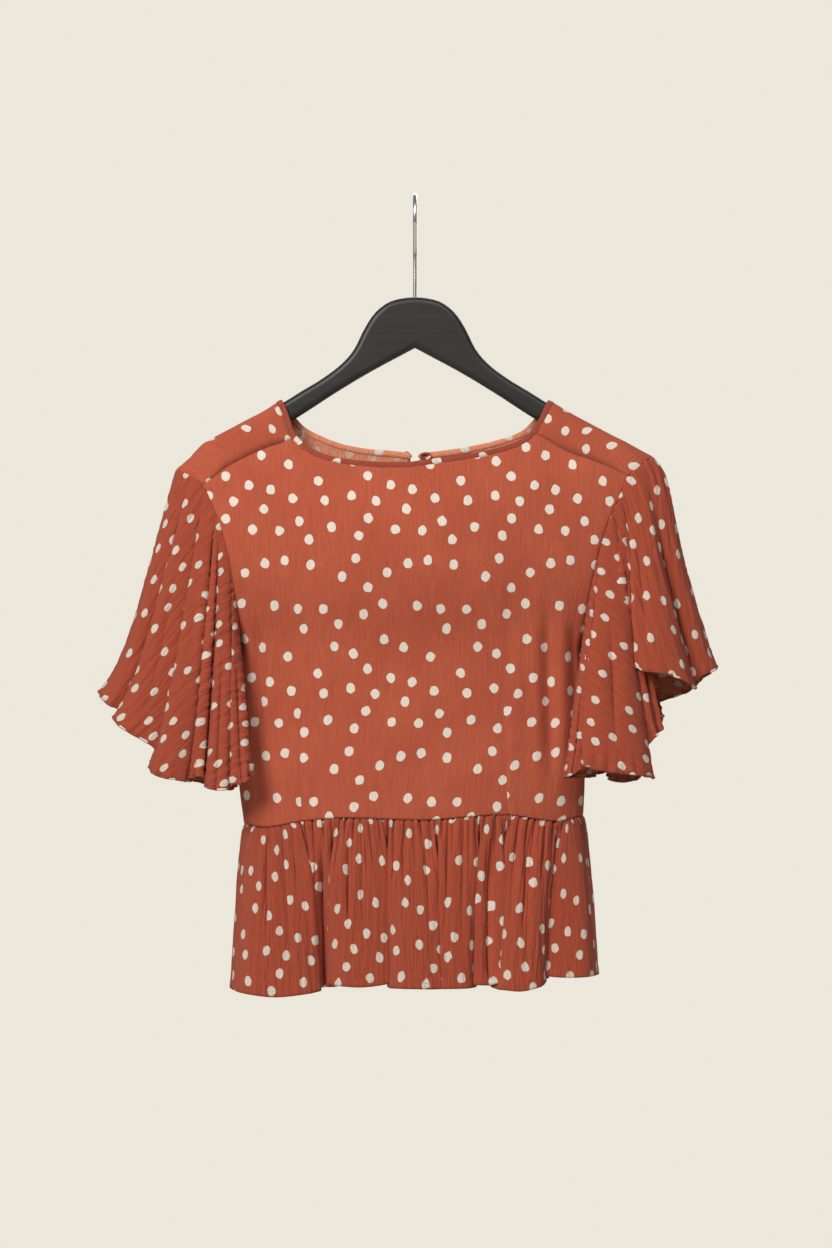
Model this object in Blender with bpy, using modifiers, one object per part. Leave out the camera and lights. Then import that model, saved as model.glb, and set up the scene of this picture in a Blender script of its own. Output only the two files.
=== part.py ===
"""Peplum top hanging on a wooden hanger.

Every cloth piece is a wall of real thickness, cut where the seams are, in the shape it hangs in.
The origin is the inside crest of the hook, where it rests on a rail. +Z is up and the front of the
top faces -Y. The tables are in millimetres and are read through MM.
"""

import math
from bisect import bisect_right
from typing import NamedTuple

import bmesh
import bpy
from mathutils import Vector

MM = 0.001

# Driving sizes of the cloth
WALL = 1.0 * MM
BINDING_WALL = 2.0 * MM
BINDING_WIDTH = 5.5 * MM
SEAM_GAP = 0.3 * MM
WAIST_GAP = 0.6 * MM
YOKE_GAP = 0.5 * MM
BINDING_GAP = 0.6 * MM
GATHERS = 36
GATHER_DEPTH = 1.5 * MM

# Driving sizes of the hanger and its hook
HANGER_THICK = 14.0 * MM
HANGER_BEVEL = 3.0 * MM
WIRE_RADIUS = 1.8 * MM
HOOK_RADIUS = 18.0 * MM
STEM_FOOT = -96.0 * MM
STEM_HOLE_GAP = 0.3 * MM

# Driving sizes of the closure at the back of the neck
BUTTON_RADIUS = 4.5 * MM
BUTTON_THICK = 2.4 * MM
LOOP_WIRE_RADIUS = 1.3 * MM
LOOP_WIDE = 3.9 * MM
LOOP_HIGH = 2.4 * MM
LOOP_REACH = 7.0 * MM
LOOP_GAP = 0.5 * MM
LOOP_STEPS = 20

# Height of the point that the binding's width runs away from
NECK_CENTRE = Vector((0.0, 0.0, -120.6 * MM))

CLOTH_COLOUR = (0.42, 0.085, 0.042, 1.0)
BINDING_COLOUR = (0.46, 0.11, 0.055, 1.0)
WOOD_COLOUR = (0.012, 0.011, 0.010, 1.0)
CHROME_COLOUR = (0.75, 0.74, 0.72, 1.0)
BUTTON_COLOUR = (0.30, 0.06, 0.03, 1.0)


class NeckRow(NamedTuple):
    """One place on both halves of the neck edge, from the back slit over the hanger to the front."""

    y: float
    x_low: float
    z_low: float
    x_high: float
    z_high: float


NECK = (
    NeckRow(y=16.5, x_low=-2.5, z_low=-230.0, x_high=2.5, z_high=-230.0),
    NeckRow(y=16.0, x_low=-22.5, z_low=-227.7, x_high=26.0, z_high=-227.5),
    NeckRow(y=15.0, x_low=-44.1, z_low=-225.9, x_high=50.4, z_high=-223.7),
    NeckRow(y=13.5, x_low=-70.0, z_low=-220.4, x_high=78.0, z_high=-217.2),
    NeckRow(y=12.0, x_low=-96.3, z_low=-208.8, x_high=96.3, z_high=-210.0),
    NeckRow(y=10.8, x_low=-107.1, z_low=-198.9, x_high=107.1, z_high=-199.8),
    NeckRow(y=9.8, x_low=-115.2, z_low=-191.0, x_high=115.2, z_high=-191.0),
    NeckRow(y=8.0, x_low=-118.6, z_low=-184.6, x_high=118.6, z_high=-184.6),
    NeckRow(y=0.0, x_low=-119.9, z_low=-182.9, x_high=119.9, z_high=-182.9),
    NeckRow(y=-8.0, x_low=-118.6, z_low=-184.6, x_high=118.6, z_high=-184.6),
    NeckRow(y=-10.0, x_low=-115.2, z_low=-191.5, x_high=115.2, z_high=-191.5),
    NeckRow(y=-11.0, x_low=-111.5, z_low=-202.0, x_high=111.0, z_high=-200.5),
    NeckRow(y=-13.0, x_low=-106.5, z_low=-214.5, x_high=104.5, z_high=-210.5),
    NeckRow(y=-16.0, x_low=-93.0, z_low=-226.5, x_high=91.0, z_high=-220.5),
    NeckRow(y=-20.0, x_low=-70.2, z_low=-234.9, x_high=64.8, z_high=-228.6),
    NeckRow(y=-23.0, x_low=-36.0, z_low=-239.0, x_high=32.0, z_high=-234.0),
    NeckRow(y=-24.0, x_low=-5.0, z_low=-239.2, x_high=-5.0, z_high=-239.2),
)
NECK_BACK_SEAM = 4
NECK_CREST = 8
NECK_FRONT_SEAM = 12
NECK_FRONT = 16


class ArmholeRow(NamedTuple):
    """One place on the armholes, from the shoulder's crest down the front to the underarm."""

    y: float
    x_low: float
    z_low: float
    x_high: float
    z_high: float


ARMHOLE = (
    ArmholeRow(y=0.0, x_low=-215.1, z_low=-245.3, x_high=213.3, z_high=-233.6),
    ArmholeRow(y=-8.5, x_low=-208.5, z_low=-247.5, x_high=206.5, z_high=-238.0),
    ArmholeRow(y=-13.0, x_low=-199.0, z_low=-253.0, x_high=198.5, z_high=-245.0),
    ArmholeRow(y=-15.0, x_low=-190.0, z_low=-259.2, x_high=190.8, z_high=-251.1),
    ArmholeRow(y=-19.5, x_low=-180.0, z_low=-280.0, x_high=180.0, z_high=-276.3),
    ArmholeRow(y=-22.5, x_low=-172.8, z_low=-299.7, x_high=172.8, z_high=-292.0),
    ArmholeRow(y=-24.0, x_low=-166.0, z_low=-327.0, x_high=165.5, z_high=-315.0),
    ArmholeRow(y=-22.5, x_low=-161.5, z_low=-354.0, x_high=159.0, z_high=-342.0),
    ArmholeRow(y=-16.0, x_low=-158.0, z_low=-382.0, x_high=153.0, z_high=-375.0),
    ArmholeRow(y=-0.5, x_low=-156.0, z_low=-407.7, x_high=147.5, z_high=-408.5),
)
ARMHOLE_SEAM = 3
UNDERARM = 9


class YokeRow(NamedTuple):
    """One place along the shoulder: the front seam's height, and the crest's outer line."""

    x: float
    seam_z: float
    crest_z: float


YOKE_LOW = (
    YokeRow(x=-111.0, seam_z=-217.6, crest_z=-179.1),
    YokeRow(x=-132.3, seam_z=-225.9, crest_z=-190.5),
    YokeRow(x=-152.6, seam_z=-234.9, crest_z=-201.3),
    YokeRow(x=-176.9, seam_z=-248.4, crest_z=-214.2),
    YokeRow(x=-185.4, seam_z=-255.0, crest_z=-218.7),
    YokeRow(x=-198.9, seam_z=-262.0, crest_z=-228.6),
    YokeRow(x=-215.1, seam_z=-268.0, crest_z=-244.8),
)
YOKE_HIGH = (
    YokeRow(x=108.0, seam_z=-213.7, crest_z=-177.6),
    YokeRow(x=137.7, seam_z=-230.0, crest_z=-193.4),
    YokeRow(x=157.5, seam_z=-236.9, crest_z=-203.9),
    YokeRow(x=176.9, seam_z=-244.6, crest_z=-214.2),
    YokeRow(x=190.8, seam_z=-251.1, crest_z=-221.0),
    YokeRow(x=208.8, seam_z=-258.0, crest_z=-231.0),
    YokeRow(x=213.3, seam_z=-260.0, crest_z=-233.1),
)
# How boxy the cloth's section over the hanger's arm is: 2 would be an ellipse
YOKE_POWER = 4.0


class WaistRow(NamedTuple):
    """The waist seam's height at a share of the way across, from the -X side to the +X side."""

    share: float
    z: float


WAIST = (
    WaistRow(share=0.00, z=-563.4),
    WaistRow(share=0.07, z=-566.1),
    WaistRow(share=0.17, z=-560.5),
    WaistRow(share=0.30, z=-557.2),
    WaistRow(share=0.53, z=-558.9),
    WaistRow(share=0.77, z=-554.6),
    WaistRow(share=0.92, z=-560.7),
    WaistRow(share=1.00, z=-556.2),
)
WAIST_LOW_X = -153.5 * MM
WAIST_HIGH_X = 151.0 * MM
WAIST_FRONT = 40.0 * MM
WAIST_BACK = 36.0 * MM
# How boxy the waist's ring is: 2 would be an ellipse
WAIST_POWER = 2.3
# How far the middle of a panel stands out from, and above, the line between its shoulder corners
CHEST_SWELL = 14.0 * MM
CHEST_RISE = 16.0 * MM


class SideRow(NamedTuple):
    """How far out both side seams lie, from the waist to the underarm."""

    share: float
    x_low: float
    x_high: float
    z: float


SIDE_SEAM = (
    SideRow(share=0.35, x_low=-158.5, x_high=152.3, z=-520.0),
    SideRow(share=0.75, x_low=-159.5, x_high=150.5, z=-450.0),
)


class Wave(NamedTuple):
    """One flute of a hem: it runs from start to end across the view, with its crest farthest out.

    seam is the place on the upper seam where the valley that ends the flute begins. crest and
    valley are depths along Y, and the z columns are the hem's height along the flute.
    """

    seam: float
    start: float
    end: float
    z_from: float
    z_mid: float
    z_to: float
    crest: float
    valley: float


# The share of a flute's width that each of its turned sides takes
WAVE_TURN = 0.16


class Hem(NamedTuple):
    """A hem line: its first and last points, and the flutes between them."""

    first: tuple
    waves: tuple
    last: tuple


SLEEVE_LOW_FRONT = Hem(
    first=(-284.4, 0.0, -444.6),
    waves=(
        Wave(seam=1.7, start=-282, end=-263.7, z_from=-449, z_mid=-457, z_to=-461.7, crest=-19, valley=-17),
        Wave(seam=3.1, start=-269, end=-227.7, z_from=-468, z_mid=-484, z_to=-501.3, crest=-38, valley=-33),
        Wave(seam=4.1, start=-234.5, end=-206, z_from=-514, z_mid=-521, z_to=-523.8, crest=-51, valley=-38),
        Wave(seam=5.0, start=-204.5, end=-183, z_from=-523, z_mid=-520, z_to=-517.0, crest=-46, valley=-37),
        Wave(seam=6.3, start=-186, end=-165, z_from=-527.4, z_mid=-531, z_to=-531, crest=-57, valley=-43),
        Wave(seam=8.0, start=-163.8, end=-145, z_from=-527.4, z_mid=-525, z_to=-518, crest=-57, valley=-26),
    ),
    last=(-170.5, 0.0, -530.0),
)
SLEEVE_LOW_BACK = Hem(
    first=(-170.5, 0.0, -530.0),
    waves=(
        Wave(seam=10.8, start=-167, end=-183, z_from=-530, z_mid=-531, z_to=-530, crest=46, valley=33),
        Wave(seam=12.4, start=-182, end=-203, z_from=-529.7, z_mid=-529, z_to=-525.6, crest=52, valley=36),
        Wave(seam=14.0, start=-201, end=-229.5, z_from=-520, z_mid=-510, z_to=-499, crest=44, valley=27),
        Wave(seam=15.8, start=-227, end=-262, z_from=-497, z_mid=-480, z_to=-460, crest=35, valley=15),
    ),
    last=(-284.4, 0.0, -444.6),
)
SLEEVE_HIGH_FRONT = Hem(
    first=(271.8, 0.0, -422.1),
    waves=(
        Wave(seam=1.7, start=270, end=250, z_from=-424, z_mid=-428.4, z_to=-437.4, crest=-20, valley=-16),
        Wave(seam=3.7, start=248.4, end=195, z_from=-441.9, z_mid=-428, z_to=-423, crest=-46, valley=-19),
        Wave(seam=4.4, start=219, end=194.4, z_from=-474, z_mid=-492, z_to=-507, crest=-38, valley=-27),
        Wave(seam=6.2, start=212, end=146, z_from=-521, z_mid=-515.7, z_to=-508.5, crest=-58, valley=-38),
        Wave(seam=8.2, start=147, end=134, z_from=-510, z_mid=-517.0, z_to=-521.0, crest=-50, valley=-25),
    ),
    last=(162.0, 0.0, -521.0),
)
SLEEVE_HIGH_BACK = Hem(
    first=(162.0, 0.0, -521.0),
    waves=(
        Wave(seam=10.8, start=160, end=178, z_from=-521, z_mid=-519.5, z_to=-518.5, crest=46, valley=33),
        Wave(seam=12.4, start=179, end=203, z_from=-526, z_mid=-528, z_to=-524, crest=52, valley=36),
        Wave(seam=14.0, start=202, end=224, z_from=-506, z_mid=-490, z_to=-470, crest=44, valley=28),
        Wave(seam=15.8, start=221, end=249, z_from=-456, z_mid=-450, z_to=-443.7, crest=34, valley=15),
    ),
    last=(271.8, 0.0, -422.1),
)
# How far the last part of each sleeve's outer fold kicks out
SLEEVE_LIP_LOW = 0.21
SLEEVE_LIP_HIGH = 0.05
# How far the +X sleeve's head puffs out, and how far down its puff is fullest
SLEEVE_PUFF = 7.0 * MM
SLEEVE_PUFF_DOWN = 0.125
SLEEVE_START_GAP = 1.1 * MM
UNDERARM_START_GAP = 1.9 * MM

PEPLUM_FRONT = Hem(
    first=(-165.2, -0.15, -709.0),
    waves=(
        Wave(seam=0.174, start=-164, end=-88, z_from=-710, z_mid=-715.5, z_to=-711, crest=-57, valley=-40),
        Wave(seam=0.264, start=-90, end=-71, z_from=-709, z_mid=-708, z_to=-707, crest=-46, valley=-40),
        Wave(seam=0.420, start=-73, end=-20, z_from=-705, z_mid=-706.5, z_to=-702, crest=-62, valley=-46),
        Wave(seam=0.565, start=-21.5, end=21.2, z_from=-707, z_mid=-707.5, z_to=-708, crest=-67, valley=-56),
        Wave(seam=0.698, start=21.6, end=50, z_from=-708, z_mid=-707.5, z_to=-707, crest=-66, valley=-42),
        Wave(seam=0.773, start=53, end=78, z_from=-705, z_mid=-704.5, z_to=-701, crest=-60, valley=-44),
        Wave(seam=0.930, start=75, end=113.5, z_from=-708, z_mid=-709.5, z_to=-704, crest=-67, valley=-41),
        Wave(seam=0.985, start=115, end=162, z_from=-697, z_mid=-698.5, z_to=-697.5, crest=-54, valley=-14),
    ),
    last=(164.7, -0.15, -699.5),
)
PEPLUM_BACK = Hem(
    first=(-165.2, 0.15, -709.0),
    waves=(
        Wave(seam=0.140, start=-164, end=-104, z_from=-710, z_mid=-712, z_to=-709, crest=52, valley=38),
        Wave(seam=0.300, start=-104, end=-62, z_from=-708, z_mid=-709, z_to=-707, crest=58, valley=41),
        Wave(seam=0.430, start=-63, end=-18, z_from=-706, z_mid=-707, z_to=-704, crest=60, valley=44),
        Wave(seam=0.570, start=-19, end=26, z_from=-704, z_mid=-706, z_to=-705, crest=62, valley=43),
        Wave(seam=0.720, start=25, end=70, z_from=-704, z_mid=-705, z_to=-702, crest=60, valley=40),
        Wave(seam=0.860, start=71, end=112, z_from=-702, z_mid=-703, z_to=-700, crest=56, valley=37),
        Wave(seam=0.985, start=112, end=163, z_from=-699, z_mid=-700, z_to=-698, crest=50, valley=13),
    ),
    last=(164.7, 0.15, -699.5),
)
# Below 1, the peplum swings out most just under its seam
PEPLUM_SWING = 0.6


class OutlineRow(NamedTuple):
    """One corner of the +X half of the hanger's outline."""

    x: float
    z: float


HANGER_HALF = (
    OutlineRow(x=40.9, z=-158.0),
    OutlineRow(x=71.5, z=-176.4),
    OutlineRow(x=109.4, z=-200.7),
    OutlineRow(x=150.0, z=-222.4),
    OutlineRow(x=176.0, z=-236.4),
    OutlineRow(x=184.5, z=-237.8),
    OutlineRow(x=189.5, z=-232.5),
    OutlineRow(x=188.5, z=-225.0),
    OutlineRow(x=182.0, z=-219.4),
    OutlineRow(x=150.0, z=-201.8),
    OutlineRow(x=118.8, z=-185.2),
    OutlineRow(x=101.7, z=-174.6),
    OutlineRow(x=84.6, z=-164.3),
    OutlineRow(x=67.0, z=-151.2),
    OutlineRow(x=55.4, z=-138.2),
    OutlineRow(x=45.5, z=-118.8),
    OutlineRow(x=36.0, z=-104.4),
    OutlineRow(x=23.4, z=-94.6),
    OutlineRow(x=10.0, z=-91.0),
)
HANGER_APEX_Z = -136.0
HANGER_TOP_Z = -90.4

# Columns and rows of the cloth grids
YOKE_SEAM_COLUMNS = 8
NECK_COLUMNS = 12
PANEL_COLUMNS = 2 * YOKE_SEAM_COLUMNS + NECK_COLUMNS
BODICE_ROWS = 11
KEYHOLE_ROWS = 3
YOKE_ROWS = 12
SLEEVE_ROWS = 8
PEPLUM_ROWS = 5
COLUMNS_PER_GATHER = 3
UNDERARM_SHARE = 0.5
KEYHOLE_HALF = 7.0 * MM


def mixed(a, b, share):
    """The value that lies share of the way from a to b."""
    return a + (b - a) * share


def smooth(stops, at):
    """Read a smooth curve through stops, a list of (place, value) in rising order of place."""
    places = [place for place, _ in stops]
    k = min(max(bisect_right(places, at) - 1, 0), len(stops) - 2)

    def slope(i):
        low, high = max(i - 1, 0), min(i + 1, len(stops) - 1)
        return (stops[high][1] - stops[low][1]) / (places[high] - places[low])

    span = places[k + 1] - places[k]
    t = min(max((at - places[k]) / span, 0.0), 1.0)
    rise = stops[k + 1][1] - stops[k][1]
    left = slope(k) * span
    right = slope(k + 1) * span
    return (
        stops[k][1]
        + left * t
        + (rise * 3 - left * 2 - right) * t**2
        + (left + right - rise * 2) * t**3
    )


def ring(rows, side):
    """The stops of a table with low and high halves, in metres, by row number."""
    if side < 0:
        return [(i, Vector((r.x_low, r.y, r.z_low)) * MM) for i, r in enumerate(rows)]
    return [(i, Vector((r.x_high, r.y, r.z_high)) * MM) for i, r in enumerate(rows)]


def neck_edge(side, place):
    """The free edge of the neck at a row number, on the -X half (side -1) or the +X half (side 1)."""
    return smooth(ring(NECK, side), place)


def neck_seam(side, place, reach=BINDING_WIDTH):
    """The edge of the binding that is sewn on, reach away from its free edge."""
    edge = neck_edge(side, place)
    away = edge - NECK_CENTRE
    away.y = 0.0
    return edge + away.normalized() * reach


def armhole(side, place):
    """The armhole by row number: 0 the crest, 9 the underarm, then up the back to 18."""
    front = place <= UNDERARM
    point = smooth(ring(ARMHOLE, side), place if front else 2 * UNDERARM - place)
    if not front:
        point.y = -point.y
    return point


def yoke(side, along, round_arm):
    """A point of the shoulder piece.

    Args:
        side: -1 or 1, the end of the X axis it lies at.
        along: 0 at the neck binding, 1 at the armhole.
        round_arm: -1 at the front seam, 0 on the crest, 1 at the back seam.
    """
    place = NECK_CREST - (NECK_FRONT_SEAM - NECK_CREST) * round_arm
    inner = neck_seam(side, place, BINDING_WIDTH + BINDING_GAP)
    outer = armhole(side, abs(round_arm) * ARMHOLE_SEAM)
    if round_arm > 0:
        outer.y = -outer.y
    x = mixed(inner.x, outer.x, along)
    rows = YOKE_LOW if side < 0 else YOKE_HIGH
    crest = smooth([(abs(r.x) * MM, r.crest_z * MM) for r in rows], abs(x)) - WALL / 2
    seam = smooth([(abs(r.x) * MM, r.seam_z * MM) for r in rows], abs(x))
    angle = round_arm * math.pi / 2
    depth = mixed(abs(neck_seam(side, NECK_FRONT_SEAM).y), abs(ARMHOLE[ARMHOLE_SEAM].y) * MM, along)
    y = depth * math.copysign(abs(math.sin(angle)) ** (2 / YOKE_POWER), round_arm)
    z = mixed(seam, crest, abs(math.cos(angle)) ** (2 / YOKE_POWER))
    arch = Vector((x, y, z))
    ends = mixed(inner, outer, along)
    hold = min(4 * along, 4 * (1 - along), 1.0)
    return mixed(ends, arch, hold)


def waist(share, side_y):
    """The waist seam: share 0 at the -X side, 1 at the +X side; side_y is -1 in front, 1 behind."""
    angle = share * math.pi
    middle = (WAIST_LOW_X + WAIST_HIGH_X) / 2
    half = (WAIST_HIGH_X - WAIST_LOW_X) / 2
    across = math.copysign(abs(math.cos(angle)) ** (2 / WAIST_POWER), -math.cos(angle))
    depth = WAIST_FRONT if side_y < 0 else WAIST_BACK
    away = math.sin(angle) ** (2 / WAIST_POWER) * depth + SEAM_GAP
    z = smooth([(r.share, r.z * MM) for r in WAIST], (across + 1) / 2)
    return Vector((middle + half * across, side_y * away, z))


def side_edge(side, side_y, share):
    """A panel's outer edge: the waist at 0, the underarm at UNDERARM_SHARE, the yoke seam at 1."""
    if share >= UNDERARM_SHARE:
        up = (share - UNDERARM_SHARE) / (1 - UNDERARM_SHARE)
        place = mixed(UNDERARM, ARMHOLE_SEAM, up)
        point = armhole(side, place)
        point.y = side_y * abs(point.y)
        point.z -= YOKE_GAP * up**4
        return point
    foot = waist(0.0 if side < 0 else 1.0, side_y)
    top = armhole(side, UNDERARM)
    top.y = side_y * abs(top.y)
    stops = [(0.0, foot)]
    for row in SIDE_SEAM:
        x = row.x_low if side < 0 else row.x_high
        stops.append((row.share, Vector((x * MM, mixed(foot.y, top.y, row.share), row.z * MM))))
    stops.append((1.0, top))
    return smooth(stops, share / UNDERARM_SHARE)


def seam_along(column):
    """How far along the shoulder piece's seam a panel's column stands: 1 at the armhole, 0 at the neck."""
    step = math.pi / PANEL_COLUMNS
    corner = math.cos(YOKE_SEAM_COLUMNS * step)
    return (math.cos(column * step) - corner) / (1 - corner)


def yoke_seam_point(side, side_y, along):
    """The panel's edge just below the shoulder piece's seam."""
    point = yoke(side, along, side_y)
    point.z -= YOKE_GAP
    return point


def panel_top(side_y, share):
    """The top edge of the front (side_y -1) or back (side_y 1) panel, from -X to +X."""
    side = -1 if share <= 0.5 else 1
    corner = YOKE_SEAM_COLUMNS / PANEL_COLUMNS
    inside = min(share, 1 - share)
    if inside < corner:
        return yoke_seam_point(side, side_y, seam_along(inside * PANEL_COLUMNS))
    inward = min(share - corner, 1 - corner - share) / (0.5 - corner)
    start, stop = (NECK_FRONT_SEAM, NECK_FRONT) if side_y < 0 else (NECK_BACK_SEAM, 0)
    point = neck_seam(side, mixed(start, stop, inward), BINDING_WIDTH + BINDING_GAP)
    point.z -= SEAM_GAP * (1 - inward)
    return point


def panel(side_y, share, height):
    """A point of a bodice panel, blended from its four edges.

    The top edge's own corners fade out quickly below it, so that the cloth hangs smooth.
    """
    low_side, high_side = side_edge(-1, side_y, height), side_edge(1, side_y, height)
    round_body = (1 - math.cos(share * math.pi)) / 2
    sides = mixed(low_side, high_side, round_body)
    foot = mixed(waist(0.0, side_y), waist(1.0, side_y), round_body)
    head = mixed(panel_top(side_y, 0.0), panel_top(side_y, 1.0), round_body)
    swell = Vector((0.0, side_y * CHEST_SWELL, CHEST_RISE)) * math.sin(share * math.pi)
    edge = panel_top(side_y, share) - head - swell
    return sides + (waist(share, side_y) - foot) * (1 - height) + swell * height + edge * height**3


def hem_stops(hem, seam_start, seam_end):
    """The stops of a hem line, by place on the seam above it: five to a flute and one to a valley."""
    stops = [(seam_start, Vector(hem.first) * MM)]
    before, valley = seam_start, hem.first[1]
    for k, wave in enumerate(hem.waves):
        span = wave.seam - before
        turn = WAVE_TURN * (wave.end - wave.start)
        next_x, next_z = hem.last[0], hem.last[2]
        if k + 1 < len(hem.waves):
            next_x, next_z = hem.waves[k + 1].start, hem.waves[k + 1].z_from
        low_y, high_y = mixed(valley, wave.crest, 0.5), mixed(valley, wave.crest, 0.9)
        after_low_y, after_high_y = mixed(wave.valley, wave.crest, 0.5), mixed(wave.valley, wave.crest, 0.9)
        shape = (
            (0.10, wave.start, low_y, wave.z_from),
            (0.27, wave.start + turn, high_y, mixed(wave.z_from, wave.z_mid, 0.5)),
            (0.50, mixed(wave.start, wave.end, 0.5), wave.crest, wave.z_mid),
            (0.73, wave.end - turn, after_high_y, mixed(wave.z_to, wave.z_mid, 0.5)),
            (0.90, wave.end, after_low_y, wave.z_to),
            (1.00, mixed(wave.end, next_x, 0.5), wave.valley, mixed(wave.z_to, next_z, 0.5)),
        )
        stops += [(before + share * span, Vector((x, y, z)) * MM) for share, x, y, z in shape]
        before, valley = wave.seam, wave.valley
    stops.append((seam_end, Vector(hem.last) * MM))
    return stops


def sleeve_stops(side):
    """The whole hem of a sleeve, from its outer fold round the front, the underarm and the back."""
    front, back = (SLEEVE_LOW_FRONT, SLEEVE_LOW_BACK) if side < 0 else (SLEEVE_HIGH_FRONT, SLEEVE_HIGH_BACK)
    stops = hem_stops(front, 0.0, UNDERARM)
    return stops + hem_stops(back, UNDERARM, 2 * UNDERARM)[1:]


def sleeve(side, stops, place, down):
    """A point of a sleeve: place is on the armhole, down is 0 at the seam and 1 at the hem."""
    start = armhole(side, place)
    under = 1 - abs(place - UNDERARM) / UNDERARM
    start.x += side * mixed(SLEEVE_START_GAP, UNDERARM_START_GAP, under**4)
    end = smooth(stops, place)
    lip = SLEEVE_LIP_LOW if side < 0 else SLEEVE_LIP_HIGH
    out = down + lip * (1 - under) * (down**8 - down)
    point = Vector((mixed(start.x, end.x, out), mixed(start.y, end.y, down), mixed(start.z, end.z, down)))
    if side > 0:
        reach = down / SLEEVE_PUFF_DOWN
        point.x += SLEEVE_PUFF * reach * math.exp(1 - reach) * (1 - under) ** 2
    return point


def peplum(side_y, stops, share, down):
    """A point of a peplum panel: gathered along the waist, fluted at the hem."""
    start = waist(share, side_y)
    start.z -= WAIST_GAP
    end = smooth(stops, share)
    swing = down**PEPLUM_SWING
    point = Vector((mixed(start.x, end.x, swing), mixed(start.y, end.y, swing), mixed(start.z, end.z, down)))
    edge = min(1.0, 12 * share, 12 * (1 - share))
    gather = GATHER_DEPTH * edge * (1 - down) ** 2 * math.sin(2 * math.pi * GATHERS * share)
    point.y += side_y * gather
    return point


def finish(name, colour, roughness, metallic=0.0):
    """A plain surface finish."""
    material = bpy.data.materials.new(name)
    material.use_nodes = True
    shader = material.node_tree.nodes["Principled BSDF"]
    shader.inputs["Base Color"].default_value = colour
    shader.inputs["Roughness"].default_value = roughness
    shader.inputs["Metallic"].default_value = metallic
    return material


def placed(name, mesh, material, home):
    """Put a mesh in the collection as a named object with its finish."""
    mesh.materials.clear()
    mesh.materials.append(material)
    ob = bpy.data.objects.new(name, mesh)
    home.objects.link(ob)
    return ob


def cloth(name, point_at, columns, rows, material, home, wall=WALL, skip=None):
    """A cloth wall: a grid moved onto a surface and given its thickness.

    Args:
        name: The piece's name.
        point_at: Gives the point for a column's place and a row's place.
        columns: The places of the columns.
        rows: The places of the rows.
        material: The cloth's finish.
        home: The collection.
        wall: The thickness.
        skip: Tells which cells of the grid are left open, by column and row number.
    """
    across, up = len(columns) - 1, len(rows) - 1
    bm = bmesh.new()
    bmesh.ops.create_grid(bm, x_segments=across, y_segments=up, size=0.5)
    if skip:
        open_cells = []
        for face in bm.faces:
            middle = face.calc_center_median()
            if skip(int((middle.x + 0.5) * across), int((middle.y + 0.5) * up)):
                open_cells.append(face)
        bmesh.ops.delete(bm, geom=open_cells, context="FACES")
    for vert in bm.verts:
        i, j = round((vert.co.x + 0.5) * across), round((vert.co.y + 0.5) * up)
        vert.co = point_at(columns[i], rows[j])
    bmesh.ops.remove_doubles(bm, verts=bm.verts, dist=0.01 * MM)
    mesh = bpy.data.meshes.new(name)
    bm.to_mesh(mesh)
    bm.free()
    mesh.shade_smooth()
    ob = placed(name, mesh, material, home)
    shell = ob.modifiers.new("Wall", "SOLIDIFY")
    shell.thickness = wall
    shell.offset = 0.0
    return ob


def make_panels(material, home):
    """The front and back of the bodice; the back is split from the neck down by a keyhole."""
    columns = [k / PANEL_COLUMNS for k in range(PANEL_COLUMNS + 1)]
    rows = [k / BODICE_ROWS for k in range(BODICE_ROWS + 1)]
    cloth("bodice_front", lambda share, height: panel(-1, share, height), columns, rows, material, home)
    middle = len(columns) // 2
    split = columns[:middle] + [0.5 - 1e-6, 0.5 + 1e-6] + columns[middle + 1 :]
    slit_foot = BODICE_ROWS - KEYHOLE_ROWS

    def back(share, height):
        point = panel(1, share, height)
        if abs(share - 0.5) < 1e-3:
            drop = (1 - height) * BODICE_ROWS / KEYHOLE_ROWS
            half = mixed(abs(NECK[0].x_low) * MM, KEYHOLE_HALF, math.sin(min(drop, 1.0) * math.pi * 0.8))
            if drop > 0.999:
                half = KEYHOLE_HALF * 0.5
            point.x = math.copysign(half, share - 0.5)
        return point

    cloth(
        "bodice_back",
        back,
        split,
        rows,
        material,
        home,
        skip=lambda i, j: i == middle and j >= slit_foot,
    )


def make_yokes(material, home):
    """The two shoulder pieces, over the hanger's arms; their columns meet the panels' columns."""
    columns = [seam_along(k) for k in range(YOKE_SEAM_COLUMNS, -1, -1)]
    rows = [2 * k / YOKE_ROWS - 1 for k in range(YOKE_ROWS + 1)]
    for name, side in (("yoke_right", -1), ("yoke_left", 1)):
        cloth(name, lambda along, turn, s=side: yoke(s, along, turn), columns, rows, material, home)


def make_sleeves(material, home):
    """The two fluted sleeves; each is one closed ring of cloth."""
    rows = [k / SLEEVE_ROWS for k in range(SLEEVE_ROWS + 1)]
    for name, side in (("sleeve_right", -1), ("sleeve_left", 1)):
        stops = sleeve_stops(side)
        columns = [place for place, _ in stops]
        cloth(
            name,
            lambda place, down, s=side, line=stops: sleeve(s, line, place, down),
            columns,
            rows,
            material,
            home,
        )


def make_peplum(material, home):
    """The gathered skirt below the waist seam, front and back."""
    rows = [k / PEPLUM_ROWS for k in range(PEPLUM_ROWS + 1)]
    spans = GATHERS * COLUMNS_PER_GATHER
    columns = [k / spans for k in range(spans + 1)]
    for name, side_y, hem in (("peplum_front", -1, PEPLUM_FRONT), ("peplum_back", 1, PEPLUM_BACK)):
        stops = hem_stops(hem, 0.0, 1.0)
        cloth(
            name,
            lambda share, down, s=side_y, line=stops: peplum(s, line, share, down),
            columns,
            rows,
            material,
            home,
        )


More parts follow.
